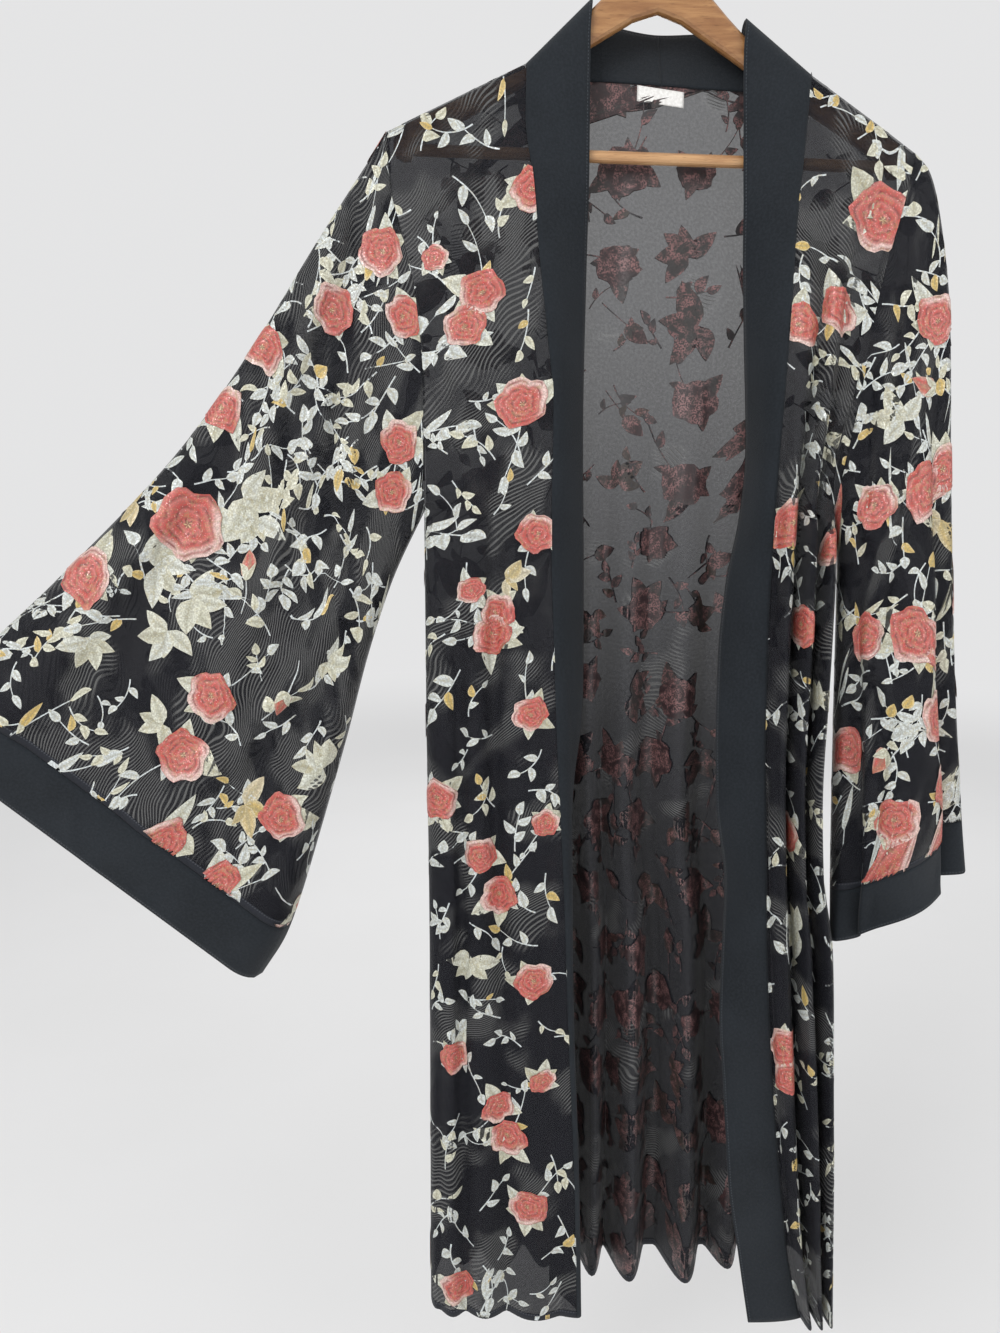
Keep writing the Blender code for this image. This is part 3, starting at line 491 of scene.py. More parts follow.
# Soft creases, listed: ends in shares across and down, width and height in metres
WRINKLES = {
    "front_left": table(Wrinkle, [
        (0.20, 0.02, 0.55, 0.20, 0.016, -0.0030), (0.75, 0.03, 0.42, 0.24, 0.018, 0.0034),
        (0.95, 0.16, 0.60, 0.30, 0.014, 0.0028), (0.40, 0.30, 0.52, 0.62, 0.014, -0.0032),
        (0.16, 0.42, 0.10, 0.93, 0.012, 0.0026), (0.72, 0.40, 0.80, 0.98, 0.011, -0.0030),
        (0.50, 0.70, 0.42, 1.00, 0.015, 0.0030), (0.92, 0.46, 0.90, 0.75, 0.009, 0.0022),
    ]),
    "front_right": table(Wrinkle, [
        (0.15, 0.02, 0.40, 0.16, 0.012, 0.0026), (0.80, 0.03, 0.60, 0.20, 0.012, -0.0028),
        (0.95, 0.20, 0.70, 0.34, 0.010, 0.0024), (0.34, 0.30, 0.36, 0.80, 0.008, -0.0026),
        (0.64, 0.28, 0.66, 0.72, 0.008, -0.0028), (0.08, 0.44, 0.12, 1.00, 0.010, 0.0026),
        (0.55, 0.74, 0.50, 1.00, 0.010, 0.0030), (0.88, 0.50, 0.86, 0.94, 0.008, -0.0022),
    ]),
    "back": table(Wrinkle, [
        (0.10, 0.04, 0.30, 0.22, 0.022, 0.0040), (0.90, 0.04, 0.72, 0.24, 0.022, 0.0040),
        (0.50, 0.05, 0.46, 0.30, 0.024, -0.0034), (0.62, 0.06, 0.70, 0.34, 0.018, 0.0032),
        (0.34, 0.06, 0.28, 0.36, 0.018, -0.0030), (0.22, 0.42, 0.24, 0.88, 0.014, 0.0034),
        (0.36, 0.52, 0.35, 1.00, 0.014, -0.0034), (0.58, 0.45, 0.585, 0.95, 0.012, 0.0032),
        (0.72, 0.50, 0.73, 1.00, 0.014, -0.0034), (0.84, 0.38, 0.83, 0.90, 0.012, 0.0030),
        (0.03, 0.36, 0.12, 0.48, 0.014, -0.0028), (0.97, 0.36, 0.88, 0.50, 0.014, -0.0028),
    ]),
    "sleeve_left": table(Wrinkle, [
        (0.03, 0.04, 0.30, 0.30, 0.017, -0.0046), (0.14, 0.02, 0.40, 0.36, 0.014, 0.0040),
        (0.44, 0.10, 0.20, 0.46, 0.015, -0.0044), (0.40, 0.30, 0.14, 0.62, 0.013, 0.0042),
        (0.46, 0.48, 0.26, 0.84, 0.014, -0.0046), (0.30, 0.52, 0.40, 0.96, 0.012, 0.0038),
        (0.06, 0.50, 0.18, 0.90, 0.014, -0.0036), (0.20, 0.30, 0.04, 0.46, 0.010, 0.0030),
        (0.60, 0.05, 0.80, 0.42, 0.018, 0.0036), (0.90, 0.08, 0.70, 0.50, 0.018, -0.0036),
        (0.58, 0.50, 0.74, 0.95, 0.016, -0.0036), (0.92, 0.55, 0.82, 0.96, 0.014, 0.0034),
    ]),
    "sleeve_right": table(Wrinkle, [
        (0.10, 0.03, 0.30, 0.22, 0.014, 0.0032), (0.30, 0.02, 0.38, 0.26, 0.011, -0.0034),
        (0.44, 0.10, 0.30, 0.40, 0.011, 0.0032), (0.20, 0.28, 0.34, 0.52, 0.012, -0.0034),
        (0.12, 0.40, 0.22, 0.80, 0.010, 0.0030), (0.38, 0.48, 0.26, 0.72, 0.011, 0.0032),
        (0.30, 0.70, 0.36, 0.98, 0.010, -0.0032), (0.70, 0.04, 0.64, 0.30, 0.014, 0.0032),
        (0.86, 0.10, 0.80, 0.44, 0.014, -0.0032), (0.60, 0.40, 0.72, 0.90, 0.012, -0.0030),
        (0.92, 0.42, 0.90, 0.86, 0.012, 0.0030),
    ]),
    "band_left": table(Wrinkle, [
        (0.12, 0.50, 0.30, 0.62, 0.007, 0.0011), (0.40, 0.70, 0.55, 0.40, 0.008, -0.0012),
    ]),
    "band_right": table(Wrinkle, [
        (0.10, 0.50, 0.26, 0.40, 0.007, 0.0011), (0.34, 0.35, 0.50, 0.65, 0.008, -0.0012),
    ]),
    "cuff_left": table(Wrinkle, [
        (0.20, 0.0, 0.24, 1.0, 0.010, 0.0014), (0.36, 0.0, 0.34, 1.0, 0.012, -0.0014),
    ]),
    "cuff_right": table(Wrinkle, [
        (0.16, 0.0, 0.18, 1.0, 0.008, 0.0012), (0.34, 0.0, 0.33, 1.0, 0.008, -0.0012),
    ]),
    "label": [],
}


def wrinkle_height(wrinkles, u, v, wide, long):
    high = 0.0
    for wrinkle in wrinkles:
        x0, y0 = wrinkle.u0 * wide, wrinkle.v0 * long
        run_x, run_y = wrinkle.u1 * wide - x0, wrinkle.v1 * long - y0
        along = ((u * wide - x0) * run_x + (v * long - y0) * run_y) / (run_x ** 2 + run_y ** 2)
        along = min(max(along, 0.0), 1.0)
        off = math.hypot(u * wide - x0 - run_x * along, v * long - y0 - run_y * along)
        if off < wrinkle.wide:
            high += wrinkle.high * bump(off, wrinkle.wide) * math.sin(math.pi * mix(0.12, 0.92, along))
    return high


def lengths(points):
    total = [0.0]
    for a, b in zip(points, points[1:]):
        total.append(total[-1] + (b - a).length)
    return total


def facing_out(rows, side, closed):
    """Outward direction at every point of a laid piece."""
    last_row, last = len(rows) - 1, len(rows[0]) - 1
    normals = []
    for r, row in enumerate(rows):
        above, below = rows[max(r - 1, 0)], rows[min(r + 1, last_row)]
        line = []
        for c in range(last + 1):
            before = row[c - 1] if c else (row[last - 1] if closed else row[0])
            after = row[c + 1] if c < last else (row[1] if closed else row[last])
            line.append(((after - before).cross(below[c] - above[c]) * side).normalized())
        normals.append(line)
    return normals


def lay(name, surface, us, vs, side, closed=False):
    """Lay a piece through its surface, with its creases fading out towards its seams."""
    rows = [[surface(u, v) for u in us] for v in vs]
    normals = facing_out(rows, side, closed)
    wide = lengths(rows[len(rows) // 2])[-1]
    long = lengths([row[len(us) // 2] for row in rows])[-1]
    wrinkles = WRINKLES[name]
    for r, v in enumerate(vs):
        for c, u in enumerate(us):
            fade = ease(v * long / FADE_TOP) * ease((1 - v) * long / FADE_EDGE)
            if not closed:
                fade *= ease(u * wide / FADE_EDGE) * ease((1 - u) * wide / FADE_EDGE)
            rows[r][c] = rows[r][c] + normals[r][c] * (fade * wrinkle_height(wrinkles, u, v, wide, long))
    down = [lengths([row[c] for row in rows]) for c in range(len(us))]
    return Laid(rows, facing_out(rows, side, closed), [lengths(row) for row in rows], down,
                max(column[-1] for column in down), closed)


def keep(name, form, finish):
    """Turn a bmesh into a piece at the origin."""
    mesh = bpy.data.meshes.new(name)
    form.to_mesh(mesh)
    form.free()
    mesh.shade_smooth()
    mesh.materials.append(finish)
    made = bpy.data.objects.new(name, mesh)
    bpy.context.scene.collection.objects.link(made)
    return made


def sew(name, laid, finish, thick, notch=None):
    """Make a laid piece as cloth with a wall. Map cloth is metres across and down; map edges is
    metres from the nearest side and from the bottom edge."""
    last_row, last = len(laid.rows) - 1, len(laid.rows[0]) - 1
    form = bmesh.new()
    bmesh.ops.create_grid(form, x_segments=last, y_segments=last_row, size=0.5)
    cloth_map = form.loops.layers.uv.new("cloth")
    edge_map = form.loops.layers.uv.new("edges")
    places = {}
    for point in form.verts:
        c, r = round((point.co.x + 0.5) * last), round((point.co.y + 0.5) * last_row)
        point.co = laid.rows[r][c]
        places[point] = (r, c)
    for face in form.faces:
        for loop in face.loops:
            r, c = places[loop.vert]
            across = laid.across[r]
            sides = 1.0 if laid.closed else min(across[c], across[-1] - across[c])
            loop[cloth_map].uv = (across[c], -laid.down[c][r])
            loop[edge_map].uv = (sides, laid.down[c][-1] - laid.down[c][r])
    if notch:
        cut = [face for face in form.faces if all(notch(*places[point]) for point in face.verts)]
        bmesh.ops.delete(form, geom=cut, context="FACES")
    if laid.closed:
        bmesh.ops.remove_doubles(form, verts=form.verts, dist=1e-5)
    bmesh.ops.recalc_face_normals(form, faces=form.faces)
    made = keep(name, form, finish)
    wall = made.modifiers.new("wall", "SOLIDIFY")
    wall.thickness = thick
    wall.offset = 0.0
    wall.use_even_offset = True
    return made


# The print, drawn flat in metres and laid on the cloth

SILVER = (0.60, 0.65, 0.66)
CREAM = (0.62, 0.62, 0.50)
OLIVE = (0.36, 0.36, 0.28)
GOLD = (0.60, 0.40, 0.08)
VEIN = (0.25, 0.24, 0.15)
CORAL = (0.50, 0.052, 0.042)
DARK_CORAL = (0.16, 0.014, 0.014)
BLUSH = (0.62, 0.27, 0.24)
STAMEN = (0.75, 0.55, 0.28)
PRINT_LIFT = 0.00012
BATCH = 60


def blend_ink(a, b, share):
    return tuple(mix(x, y, share) for x, y in zip(a, b))


def find(steps, value):
    """Place of a value in a rising list: its lower step and the share of the way on."""
    k = min(max(bisect.bisect_right(steps, value) - 1, 0), len(steps) - 2)
    return k, min(max((value - steps[k]) / max(steps[k + 1] - steps[k], 1e-9), 0.0), 1.0)


def on_cloth(laid, s, d):
    """Point and outward direction at s across and d down, and whether it is on the piece."""
    r = find(laid.down[len(laid.down) // 2], d)[0]
    for _ in range(2):
        c, share = find(laid.across[r], s % laid.across[r][-1] if laid.closed else s)
        before, after = find(laid.down[c], d), find(laid.down[c + 1], d)
        r, down = divmod(mix(sum(before), sum(after), share), 1.0)
        r = min(int(r), len(laid.rows) - 2)
    inside = 0.0 < d < laid.down[c][-1]
    spots = []
    for row in (r, r + 1):
        across = laid.across[row]
        round_s = s % across[-1] if laid.closed else s
        inside = inside and 0.0 <= round_s <= across[-1]
        c, share = find(across, round_s)
        spots.append((laid.rows[row][c].lerp(laid.rows[row][c + 1], share),
                      laid.normals[row][c].lerp(laid.normals[row][c + 1], share)))
    return (spots[0][0].lerp(spots[1][0], down), spots[0][1].lerp(spots[1][1], down).normalized(), inside)


class Sheet:
    """A print being drawn on one face of a laid piece, kept in small batches so that it stays quick."""

    def __init__(self, laid, side, rise):
        self.laid, self.side, self.rise = laid, side, rise
        self.batches = []
        self.start()

    def start(self):
        self.form = bmesh.new()
        self.ink = self.form.verts.layers.float_color.new("ink")
        self.stamps = 0

    def put_by(self):
        batch = bpy.data.meshes.new("batch")
        self.form.to_mesh(batch)
        self.form.free()
        self.batches.append(batch)
        self.start()

    def centre(self, s, d):
        """Square up the print about s, d, where the cloth's own lines lean or spread."""
        step = 0.004
        places = ((s, d), (s + step, d), (s, d + step))
        here, right, below = (on_cloth(self.laid, *place)[0] for place in places)
        right, below = (right - here) / step, (below - here) / step
        self.s, self.d, self.wide = s, d, max(right.length, 0.5)
        self.lean = below.dot(right) / self.wide
        self.tall = max((below - right * (self.lean / self.wide)).length, 0.4)

    def squared(self, s, d):
        down = (d - self.d) / self.tall
        return self.s + (s - self.s - down * self.lean) / self.wide, self.d + down

    def whole(self):
        self.put_by()
        for batch in self.batches:
            self.form.from_mesh(batch)
            bpy.data.meshes.remove(batch)
        return self.form


def stamp(sheet, steps, draw, lift):
    """Lay one motif: draw gives its place in metres and its ink at shares x and y of its grid."""
    sheet.stamps += 1
    if sheet.stamps > BATCH:
        sheet.put_by()
    made = bmesh.ops.create_grid(sheet.form, x_segments=steps[0], y_segments=steps[1], size=0.5)
    missing = set()
    for point in made["verts"]:
        s, d, ink = draw(point.co.x + 0.5, point.co.y + 0.5)
        spot, out, inside = on_cloth(sheet.laid, *sheet.squared(s, d))
        point.co = spot + out * sheet.side * (CLOTH / 2 + PRINT_LIFT + lift * sheet.rise)
        point[sheet.ink] = (*ink, 1.0)
        if not inside:
            missing.add(point)
    if missing:
        faces = {face for point in missing for face in point.link_faces}
        cut = [face for face in faces if all(point in missing for point in face.verts)]
        bmesh.ops.delete(sheet.form, geom=cut, context="FACES")


def leaf(sheet, s, d, angle, long, wide, ink, lift=0.0001, curl=0.12):
    """A pointed leaf from its stalk at s, d, with a darker vein down its middle."""
    run, rise = math.cos(angle), math.sin(angle)

    def draw(x, y):
        half = wide / 2 * math.sin(math.pi * min(x ** 0.72, 1.0)) ** 0.85 + 0.0002
        along, off = x * long, (y - 0.5) * 2 * half + curl * long * math.sin(math.pi * x)
        rim = abs(y - 0.5) * 2
        shade = blend_ink(blend_ink(VEIN, ink, 0.45), ink, ease(rim * 2.2))
        shade = blend_ink(shade, blend_ink(ink, CREAM, 0.5), ease(rim * 2 - 1.0))
        return s + along * run - off * rise, d + along * rise + off * run, shade

    stamp(sheet, (6, 4), draw, lift)


def stem(sheet, s, d, angle, long, bend, wide=0.0011, ink=SILVER, lift=0.00005):
    """A thin curved stem; returns a function that gives its place and direction along it."""
    def at(x):
        turned = angle + bend * x
        middle = angle + bend * x / 2
        return s + long * x * math.cos(middle), d + long * x * math.sin(middle), turned

    def draw(x, y):
        px, py, turned = at(x)
        off = (y - 0.5) * wide * mix(1.2, 0.7, x)
        return px - off * math.sin(turned), py + off * math.cos(turned), ink

    stamp(sheet, (8, 1), draw, lift)
    return at


def sprig(sheet, chance, s, d, angle, long, leaves, size, ink):
    """A curved stem with leaves left and right of it and one at its tip."""
    at = stem(sheet, s, d, angle, long, chance.uniform(-1.1, 1.1))
    for k in range(leaves):
        share = mix(0.28, 1.0, k / (leaves - 1))
        px, py, turned = at(share)
        off = 0.0 if k == leaves - 1 else (0.85 if k % 2 else -0.85) + chance.uniform(-0.2, 0.2)
        grown = size * chance.uniform(0.78, 1.15)
        shade = GOLD if chance.random() < 0.07 else ink
        leaf(sheet, px, py, turned + off, grown, grown * chance.uniform(0.44, 0.58), shade,
             0.00008 + 0.00002 * k, chance.uniform(-0.16, 0.16))


def rose(sheet, chance, s, d, size, lift=0.00085):
    """A round rose of swirling petals, darker between them, paler round a part of its rim."""
    spin, swirls = chance.uniform(0, 6.28), chance.uniform(3.4, 4.4)
    pale_at, squash = chance.uniform(0, 6.28), chance.uniform(0.80, 0.95)
    core_s, core_d = chance.uniform(-0.12, 0.12), chance.uniform(-0.12, 0.12)

    def draw(x, y):
        angle = x * 2 * math.pi
        rim = 1 + 0.07 * math.cos(5 * angle + spin) + 0.04 * math.cos(9 * angle + 2 * spin)
        reach = y * rim * size / 2
        turn = y * swirls + x + 0.16 * math.sin(3 * angle + spin + 4 * y)
        petal = turn % 1.0
        shade = blend_ink(DARK_CORAL, CORAL, ease(petal * 3.2))
        shade = blend_ink(shade, BLUSH, 0.42 * ease((petal - 0.45) * 2.2))
        pale = ease((y - 0.62) * 4) * ease(math.cos(angle - pale_at) * 1.4 + 0.5)
        shade = blend_ink(shade, (0.74, 0.60, 0.55), 0.8 * pale * ease(petal * 2.5))
        if y < 0.13:
            shade = blend_ink(DARK_CORAL, STAMEN, 0.9 if round(x * 20) % 4 == 0 else 0.1)
        away = 1 - y
        return (s + reach * math.cos(angle + spin) + core_s * size / 2 * away,
                d + reach * math.sin(angle + spin) * squash + core_d * size / 2 * away, shade)

    stamp(sheet, (28, 14), draw, lift)


def bud(sheet, chance, s, d, angle, size):
    """A closed bud in its pale cup, with two small leaves."""
    leaf(sheet, s, d, angle, size, size * 0.60, CORAL, 0.0005, 0.04)
    for off in (-0.5, 0.5):
        leaf(sheet, s, d, angle + off, size * 0.62, size * 0.26, CREAM, 0.0008, 0.1)
    stem(sheet, s, d, angle + math.pi, size * 1.2, chance.uniform(-0.5, 0.5))


def leaf_group(sheet, chance, s, d, size, ink, leaves=5, first=None):
    """Broad leaves fanned over one side of a stalk."""
    first = chance.uniform(0, 6.28) if first is None else first
    for k in range(leaves):
        angle = first + k * 3.6 / leaves + chance.uniform(-0.25, 0.25)
        grown = size * chance.uniform(0.62, 1.05)
        shade = blend_ink(ink, OLIVE if k % 2 else SILVER, chance.uniform(0.1, 0.6))
        leaf(sheet, s, d, angle, grown, grown * chance.uniform(0.46, 0.60), shade, 0.00014 + 0.00003 * k,
             chance.uniform(-0.1, 0.1))


def spray(sheet, chance, s, d, size):
    """A rose on a ring of broad leaves, with a stem leading off."""
    first = chance.uniform(0, 6.28)
    leaf_group(sheet, chance, s, d, size * 0.86, CREAM, chance.choice((2, 3, 3, 4)), first)
    sprig(sheet, chance, s, d, first + chance.uniform(3.6, 5.0), size * 1.35, 3, size * 0.34, SILVER)
    rose(sheet, chance, s, d, size)


# Motifs read from the photograph: place across and down in its pixels, size in metres
Motif = namedtuple("Motif", "across down size kind")
MOTIFS = table(Motif, [
    (534, 190, 0.040, "rose"), (436, 262, 0.024, "rose"), (480, 290, 0.040, "rose"),
    (465, 322, 0.038, "rose"), (520, 405, 0.046, "rose"), (537, 530, 0.036, "rose"),
    (468, 590, 0.027, "rose"), (500, 612, 0.036, "rose"), (493, 640, 0.042, "rose"),
    (529, 716, 0.033, "rose"), (436, 800, 0.040, "rose"), (543, 820, 0.026, "rose"),
    (483, 860, 0.034, "rose"), (500, 895, 0.040, "rose"), (535, 985, 0.036, "rose"),
    (455, 1060, 0.034, "rose"), (545, 1080, 0.026, "rose"), (498, 1102, 0.034, "rose"),
    (506, 1138, 0.040, "rose"), (530, 1210, 0.038, "rose"), (455, 1285, 0.040, "rose"),
    (330, 313, 0.042, "rose"), (383, 250, 0.040, "rose"), (405, 322, 0.036, "rose"),
    (398, 440, 0.038, "rose"), (396, 490, 0.036, "rose"), (193, 522, 0.064, "rose"), (93, 572, 0.052, "rose"),
    (246, 585, 0.026, "bud"), (213, 697, 0.046, "rose"), (288, 690, 0.022, "bud"), (188, 755, 0.048, "rose"),
    (285, 815, 0.042, "rose"), (155, 850, 0.036, "rose"), (215, 885, 0.034, "rose"),
    (247, 497, 0.040, "leaves"), (258, 520, 0.034, "leaves"), (140, 505, 0.030, "gold"),
    (154, 562, 0.040, "leaves"), (190, 596, 0.036, "leaves"), (170, 626, 0.032, "leaves"),
    (90, 645, 0.030, "leaves"), (330, 662, 0.028, "leaves"), (322, 770, 0.032, "leaves"),
    (165, 725, 0.030, "leaves"), (250, 800, 0.030, "gold"), (800, 322, 0.040, "rose"),
    (790, 520, 0.042, "rose"), (800, 630, 0.040, "rose"), (790, 830, 0.042, "rose"),
    (785, 1045, 0.040, "rose"), (790, 1078, 0.036, "rose"), (880, 218, 0.060, "rose"),
    (840, 312, 0.042, "rose"), (935, 322, 0.042, "rose"), (943, 470, 0.044, "rose"),
    (875, 505, 0.040, "rose"), (835, 545, 0.036, "rose"), (865, 640, 0.042, "rose"),
    (847, 750, 0.040, "rose"), (895, 818, 0.042, "rose"), (505, 583, 0.022, "gold"),
    (820, 700, 0.030, "leaves"), (905, 420, 0.034, "leaves"), (800, 930, 0.034, "leaves"),
    (470, 960, 0.032, "leaves"),
])
MOTIF_APART = 0.038
REPEAT_ACROSS, REPEAT_DOWN = 0.128, 0.130


def seen_places(pieces):
    """Give each motif of the photograph its piece and its place along that piece's cloth."""
    found = {name: [] for name in pieces}
    shown = []
    for name, laid in pieces.items():
        for r in range(0, len(laid.rows), 2):
            for c in range(0, len(laid.rows[r]), 2):
                spot = laid.rows[r][c]
                if laid.normals[r][c].dot(CAMERA_AT - spot) > 0:
                    across, down, ahead = photo_place(spot)
                    shown.append((across, down, ahead, name, laid.across[r][c], laid.down[c][r]))
    for motif in MOTIFS:
        near = [place for place in shown
                if abs(place[0] - motif.across) < 6 and abs(place[1] - motif.down) < 6]
        if near:
            place = min(near, key=lambda p: p[2] * 60 + math.hypot(p[0] - motif.across, p[1] - motif.down))
            found[place[3]].append((place[4], place[5], motif.size, motif.kind))
    return found


def repeat_places(laid, chance, taken, first, last):
    """Fill the cloth from s first to last with the print's repeat, clear of the motifs in taken."""
    places = []
    down, row = chance.uniform(0.0, 0.03), 0
    while down < laid.long:
        s = first + REPEAT_ACROSS * (0.5 if row % 2 else 0.0) + chance.uniform(-0.012, 0.012)
        while s < last:
            kind, size = [("rose", 0.046), ("rose", 0.036), ("leaves", 0.036), ("bud", 0.024),
                          ("rose", 0.040), ("gold", 0.028)][chance.randrange(6)]
            place = (s, down + chance.uniform(-0.012, 0.012), size * chance.uniform(0.9, 1.15), kind)
            if all(math.hypot(place[0] - t[0], place[1] - t[1]) > 0.062 for t in taken):
                places.append(place)
            s += REPEAT_ACROSS / 2
        down += REPEAT_DOWN / 2
        row += 1
    return places


def draw_print(name, laid, seen, spans, finish, seed, side=1, rise=1.0):
    """Lay a whole print on a piece: the motifs first, then sprigs wherever there is room."""
    chance = random.Random(seed)
    sheet = Sheet(laid, side, rise)
    places = list(seen)
    for first, last in spans:
        places += repeat_places(laid, chance, places, first, last)
    for s, d, size, kind in places:
        sheet.centre(s, d)
        if kind == "rose":
            spray(sheet, chance, s, d, size)
        elif kind == "bud":
            bud(sheet, chance, s, d, chance.uniform(0, 6.28), size)
        else:
            ink, leaves = (GOLD, 4) if kind == "gold" else (CREAM, 5)
            leaf_group(sheet, chance, s, d, size, ink, leaves)
    wide = max(across[-1] for across in laid.across)
    d = 0.004
    while d < laid.long:
        s = chance.uniform(0.0, MOTIF_APART)
        while s < wide:
            here = (s + chance.uniform(-0.010, 0.010), d + chance.uniform(-0.010, 0.010))
            room = min((math.hypot(here[0] - p[0], here[1] - p[1]) - p[2] * 0.75 for p in places), default=1.0)
            if room > 0.004:
                sheet.centre(*here)
                size = chance.uniform(0.010, 0.017)
                sprig(sheet, chance, *here, chance.uniform(0, 6.28), size * chance.uniform(1.8, 2.8),
                      chance.choice((2, 3, 3, 4)), size, SILVER if chance.random() < 0.7 else CREAM)
            s += MOTIF_APART * chance.uniform(0.85, 1.2)
        d += MOTIF_APART * 0.9
    return keep(name, sheet.whole(), finish)


# Finishes

def put(tree, node, place, value):
    """Give a node's input a value or a socket."""
    if isinstance(value, bpy.types.NodeSocket):
        tree.links.new(value, node.inputs[place])
    else:
        node.inputs[place].default_value = value


def add(tree, kind, settings=None, **inputs):
    """Add a node; inputs are named with underscores and take a value or a socket."""
    made = tree.nodes.new(kind)
    for key, value in (settings or {}).items():
        setattr(made, key, value)
    for key, value in inputs.items():
        put(tree, made, int(key[1:]) if key[0] == "i" and key[1:].isdigit() else key.replace("_", " "), value)
    return made


def maths(tree, operation, a, b=0.0):
    return add(tree, "ShaderNodeMath", {"operation": operation}, i0=a, i1=b).outputs[0]


def times(tree, a, b):
    return maths(tree, "MULTIPLY", a, b)


def plus(tree, a, b):
    return maths(tree, "ADD", a, b)


def minus(tree, a, b):
    return maths(tree, "SUBTRACT", a, b)


def between(tree, value, low, high, to_low=0.0, to_high=1.0):
    """Read a value from one range into another, softly."""
    made = add(tree, "ShaderNodeMapRange", {"interpolation_type": "SMOOTHSTEP"}, Value=value)
    for socket, number in zip(("From Min", "From Max", "To Min", "To Max"), (low, high, to_low, to_high)):
        made.inputs[socket].default_value = number
    return made.outputs["Result"]


def mixed(tree, share, a, b):
    made = add(tree, "ShaderNodeMix", {"data_type": "RGBA"})
    for place, value in ((0, share), (6, a), (7, b)):
        put(tree, made, place, value)
    return made.outputs[2]


def noise(tree, where, scale, detail=2.0, **inputs):
    return add(tree, "ShaderNodeTexNoise", Vector=where, Scale=scale, Detail=detail, **inputs).outputs["Fac"]


def parts(tree, vector):
    return add(tree, "ShaderNodeSeparateXYZ", Vector=vector).outputs


def cloth_places(tree):
    """The cloth's own places, metres across and down, and its distances from its edges."""
    place, edges = (add(tree, "ShaderNodeUVMap", {"uv_map": name}).outputs[0] for name in ("cloth", "edges"))
    return place, parts(tree, edges)


def object_place(tree):
    return add(tree, "ShaderNodeTexCoord").outputs["Object"]


def stripe(tree, distance, rise, fall):
    """1 between two distances, 0 beyond them; rise and fall give where each edge starts and ends."""
    return times(tree, between(tree, distance, *rise), between(tree, distance, *fall, 1.0, 0.0))


def thread_wave(tree, along, count):
    """A wave of so many threads or stitches in a metre."""
    return maths(tree, "SINE", times(tree, along, 2 * math.pi * count))


def group(name, inputs, outputs):
    """A shader group with its named inputs and outputs."""
    tree = bpy.data.node_groups.new(name, "ShaderNodeTree")
    for label, kind, value in inputs:
        socket = tree.interface.new_socket(label, in_out="INPUT", socket_type=kind)
        if kind == "NodeSocketFloat":
            socket.default_value = value
    for label, kind in outputs:
        tree.interface.new_socket(label, in_out="OUTPUT", socket_type=kind)
    return tree, tree.nodes.new("NodeGroupInput").outputs, tree.nodes.new("NodeGroupOutput").inputs


def placed(tree, made_group, **inputs):
    made = tree.nodes.new("ShaderNodeGroup")
    made.node_tree = made_group
    for key, value in inputs.items():
        put(tree, made, key.replace("_", " "), value)
    return made.outputs


def weave_group():
    """Threads crossing at right angles, with uneven slubs: height and a speckle."""
    tree, given, out = group("weave",
                             [("Place", "NodeSocketVector", None), ("Threads", "NodeSocketFloat", 900.0)],
                             [("Height", "NodeSocketFloat"), ("Speckle", "NodeSocketFloat")])
    apart = parts(tree, given["Place"])
    turns = times(tree, given["Threads"], 2 * math.pi)
    warp = maths(tree, "SINE", times(tree, apart["X"], turns))
    weft = maths(tree, "SINE", times(tree, apart["Y"], turns))
    slub = noise(tree, given["Place"], 420.0, 3.0)
    crossing = times(tree, warp, weft)
    height = plus(tree, times(tree, crossing, 0.4), slub)
    tree.links.new(height, out["Height"])
    tree.links.new(between(tree, slub, 0.35, 0.70), out["Speckle"])
    return tree


def ripple_group():
    """Wavy fine lines where two sheer layers lie on each other, in patches."""
    tree, given, out = group("layer_ripple", [("Place", "NodeSocketVector", None),
                                              ("Pitch", "NodeSocketFloat", 300.0),
                                              ("Bend", "NodeSocketFloat", 24.0),
                                              ("Cover", "NodeSocketFloat", 0.5)],
                             [("Lines", "NodeSocketFloat"), ("Haze", "NodeSocketFloat")])
    apart = parts(tree, given["Place"])
    broad = noise(tree, given["Place"], 11.0, 1.5)
    slanted = plus(tree, apart["Y"], times(tree, apart["X"], 0.35))
    phase = plus(tree, times(tree, slanted, given["Pitch"]), times(tree, broad, given["Bend"]))
    wave = maths(tree, "SINE", times(tree, phase, 2 * math.pi))
    moved = add(tree, "ShaderNodeVectorMath", {"operation": "ADD"}, i0=given["Place"], i1=(3.7, 1.9, 0.6))
    patch = noise(tree, moved.outputs[0], 16.0)
    where = minus(tree, patch, minus(tree, 0.98, given["Cover"]))
    cover = between(tree, where, -0.06, 0.05)
    tree.links.new(times(tree, between(tree, wave, -0.25, 0.9), cover), out["Lines"])
    tree.links.new(cover, out["Haze"])
    return tree


def finish(name, roughness=0.6, **constants):
    made = bpy.data.materials.new(name)
    made.use_nodes = True
    shader = made.node_tree.nodes["Principled BSDF"]
    shader.inputs["Roughness"].default_value = roughness
    for key, value in constants.items():
        shader.inputs[key.replace("_", " ")].default_value = value
    return made, made.node_tree, shader


def bumped(tree, shader, height, strength, distance):
    made = add(tree, "ShaderNodeBump", Strength=strength, Distance=distance, Height=height)
    tree.links.new(made.outputs[0], shader.inputs["Normal"])


WEAVE = weave_group()
RIPPLE = ripple_group()


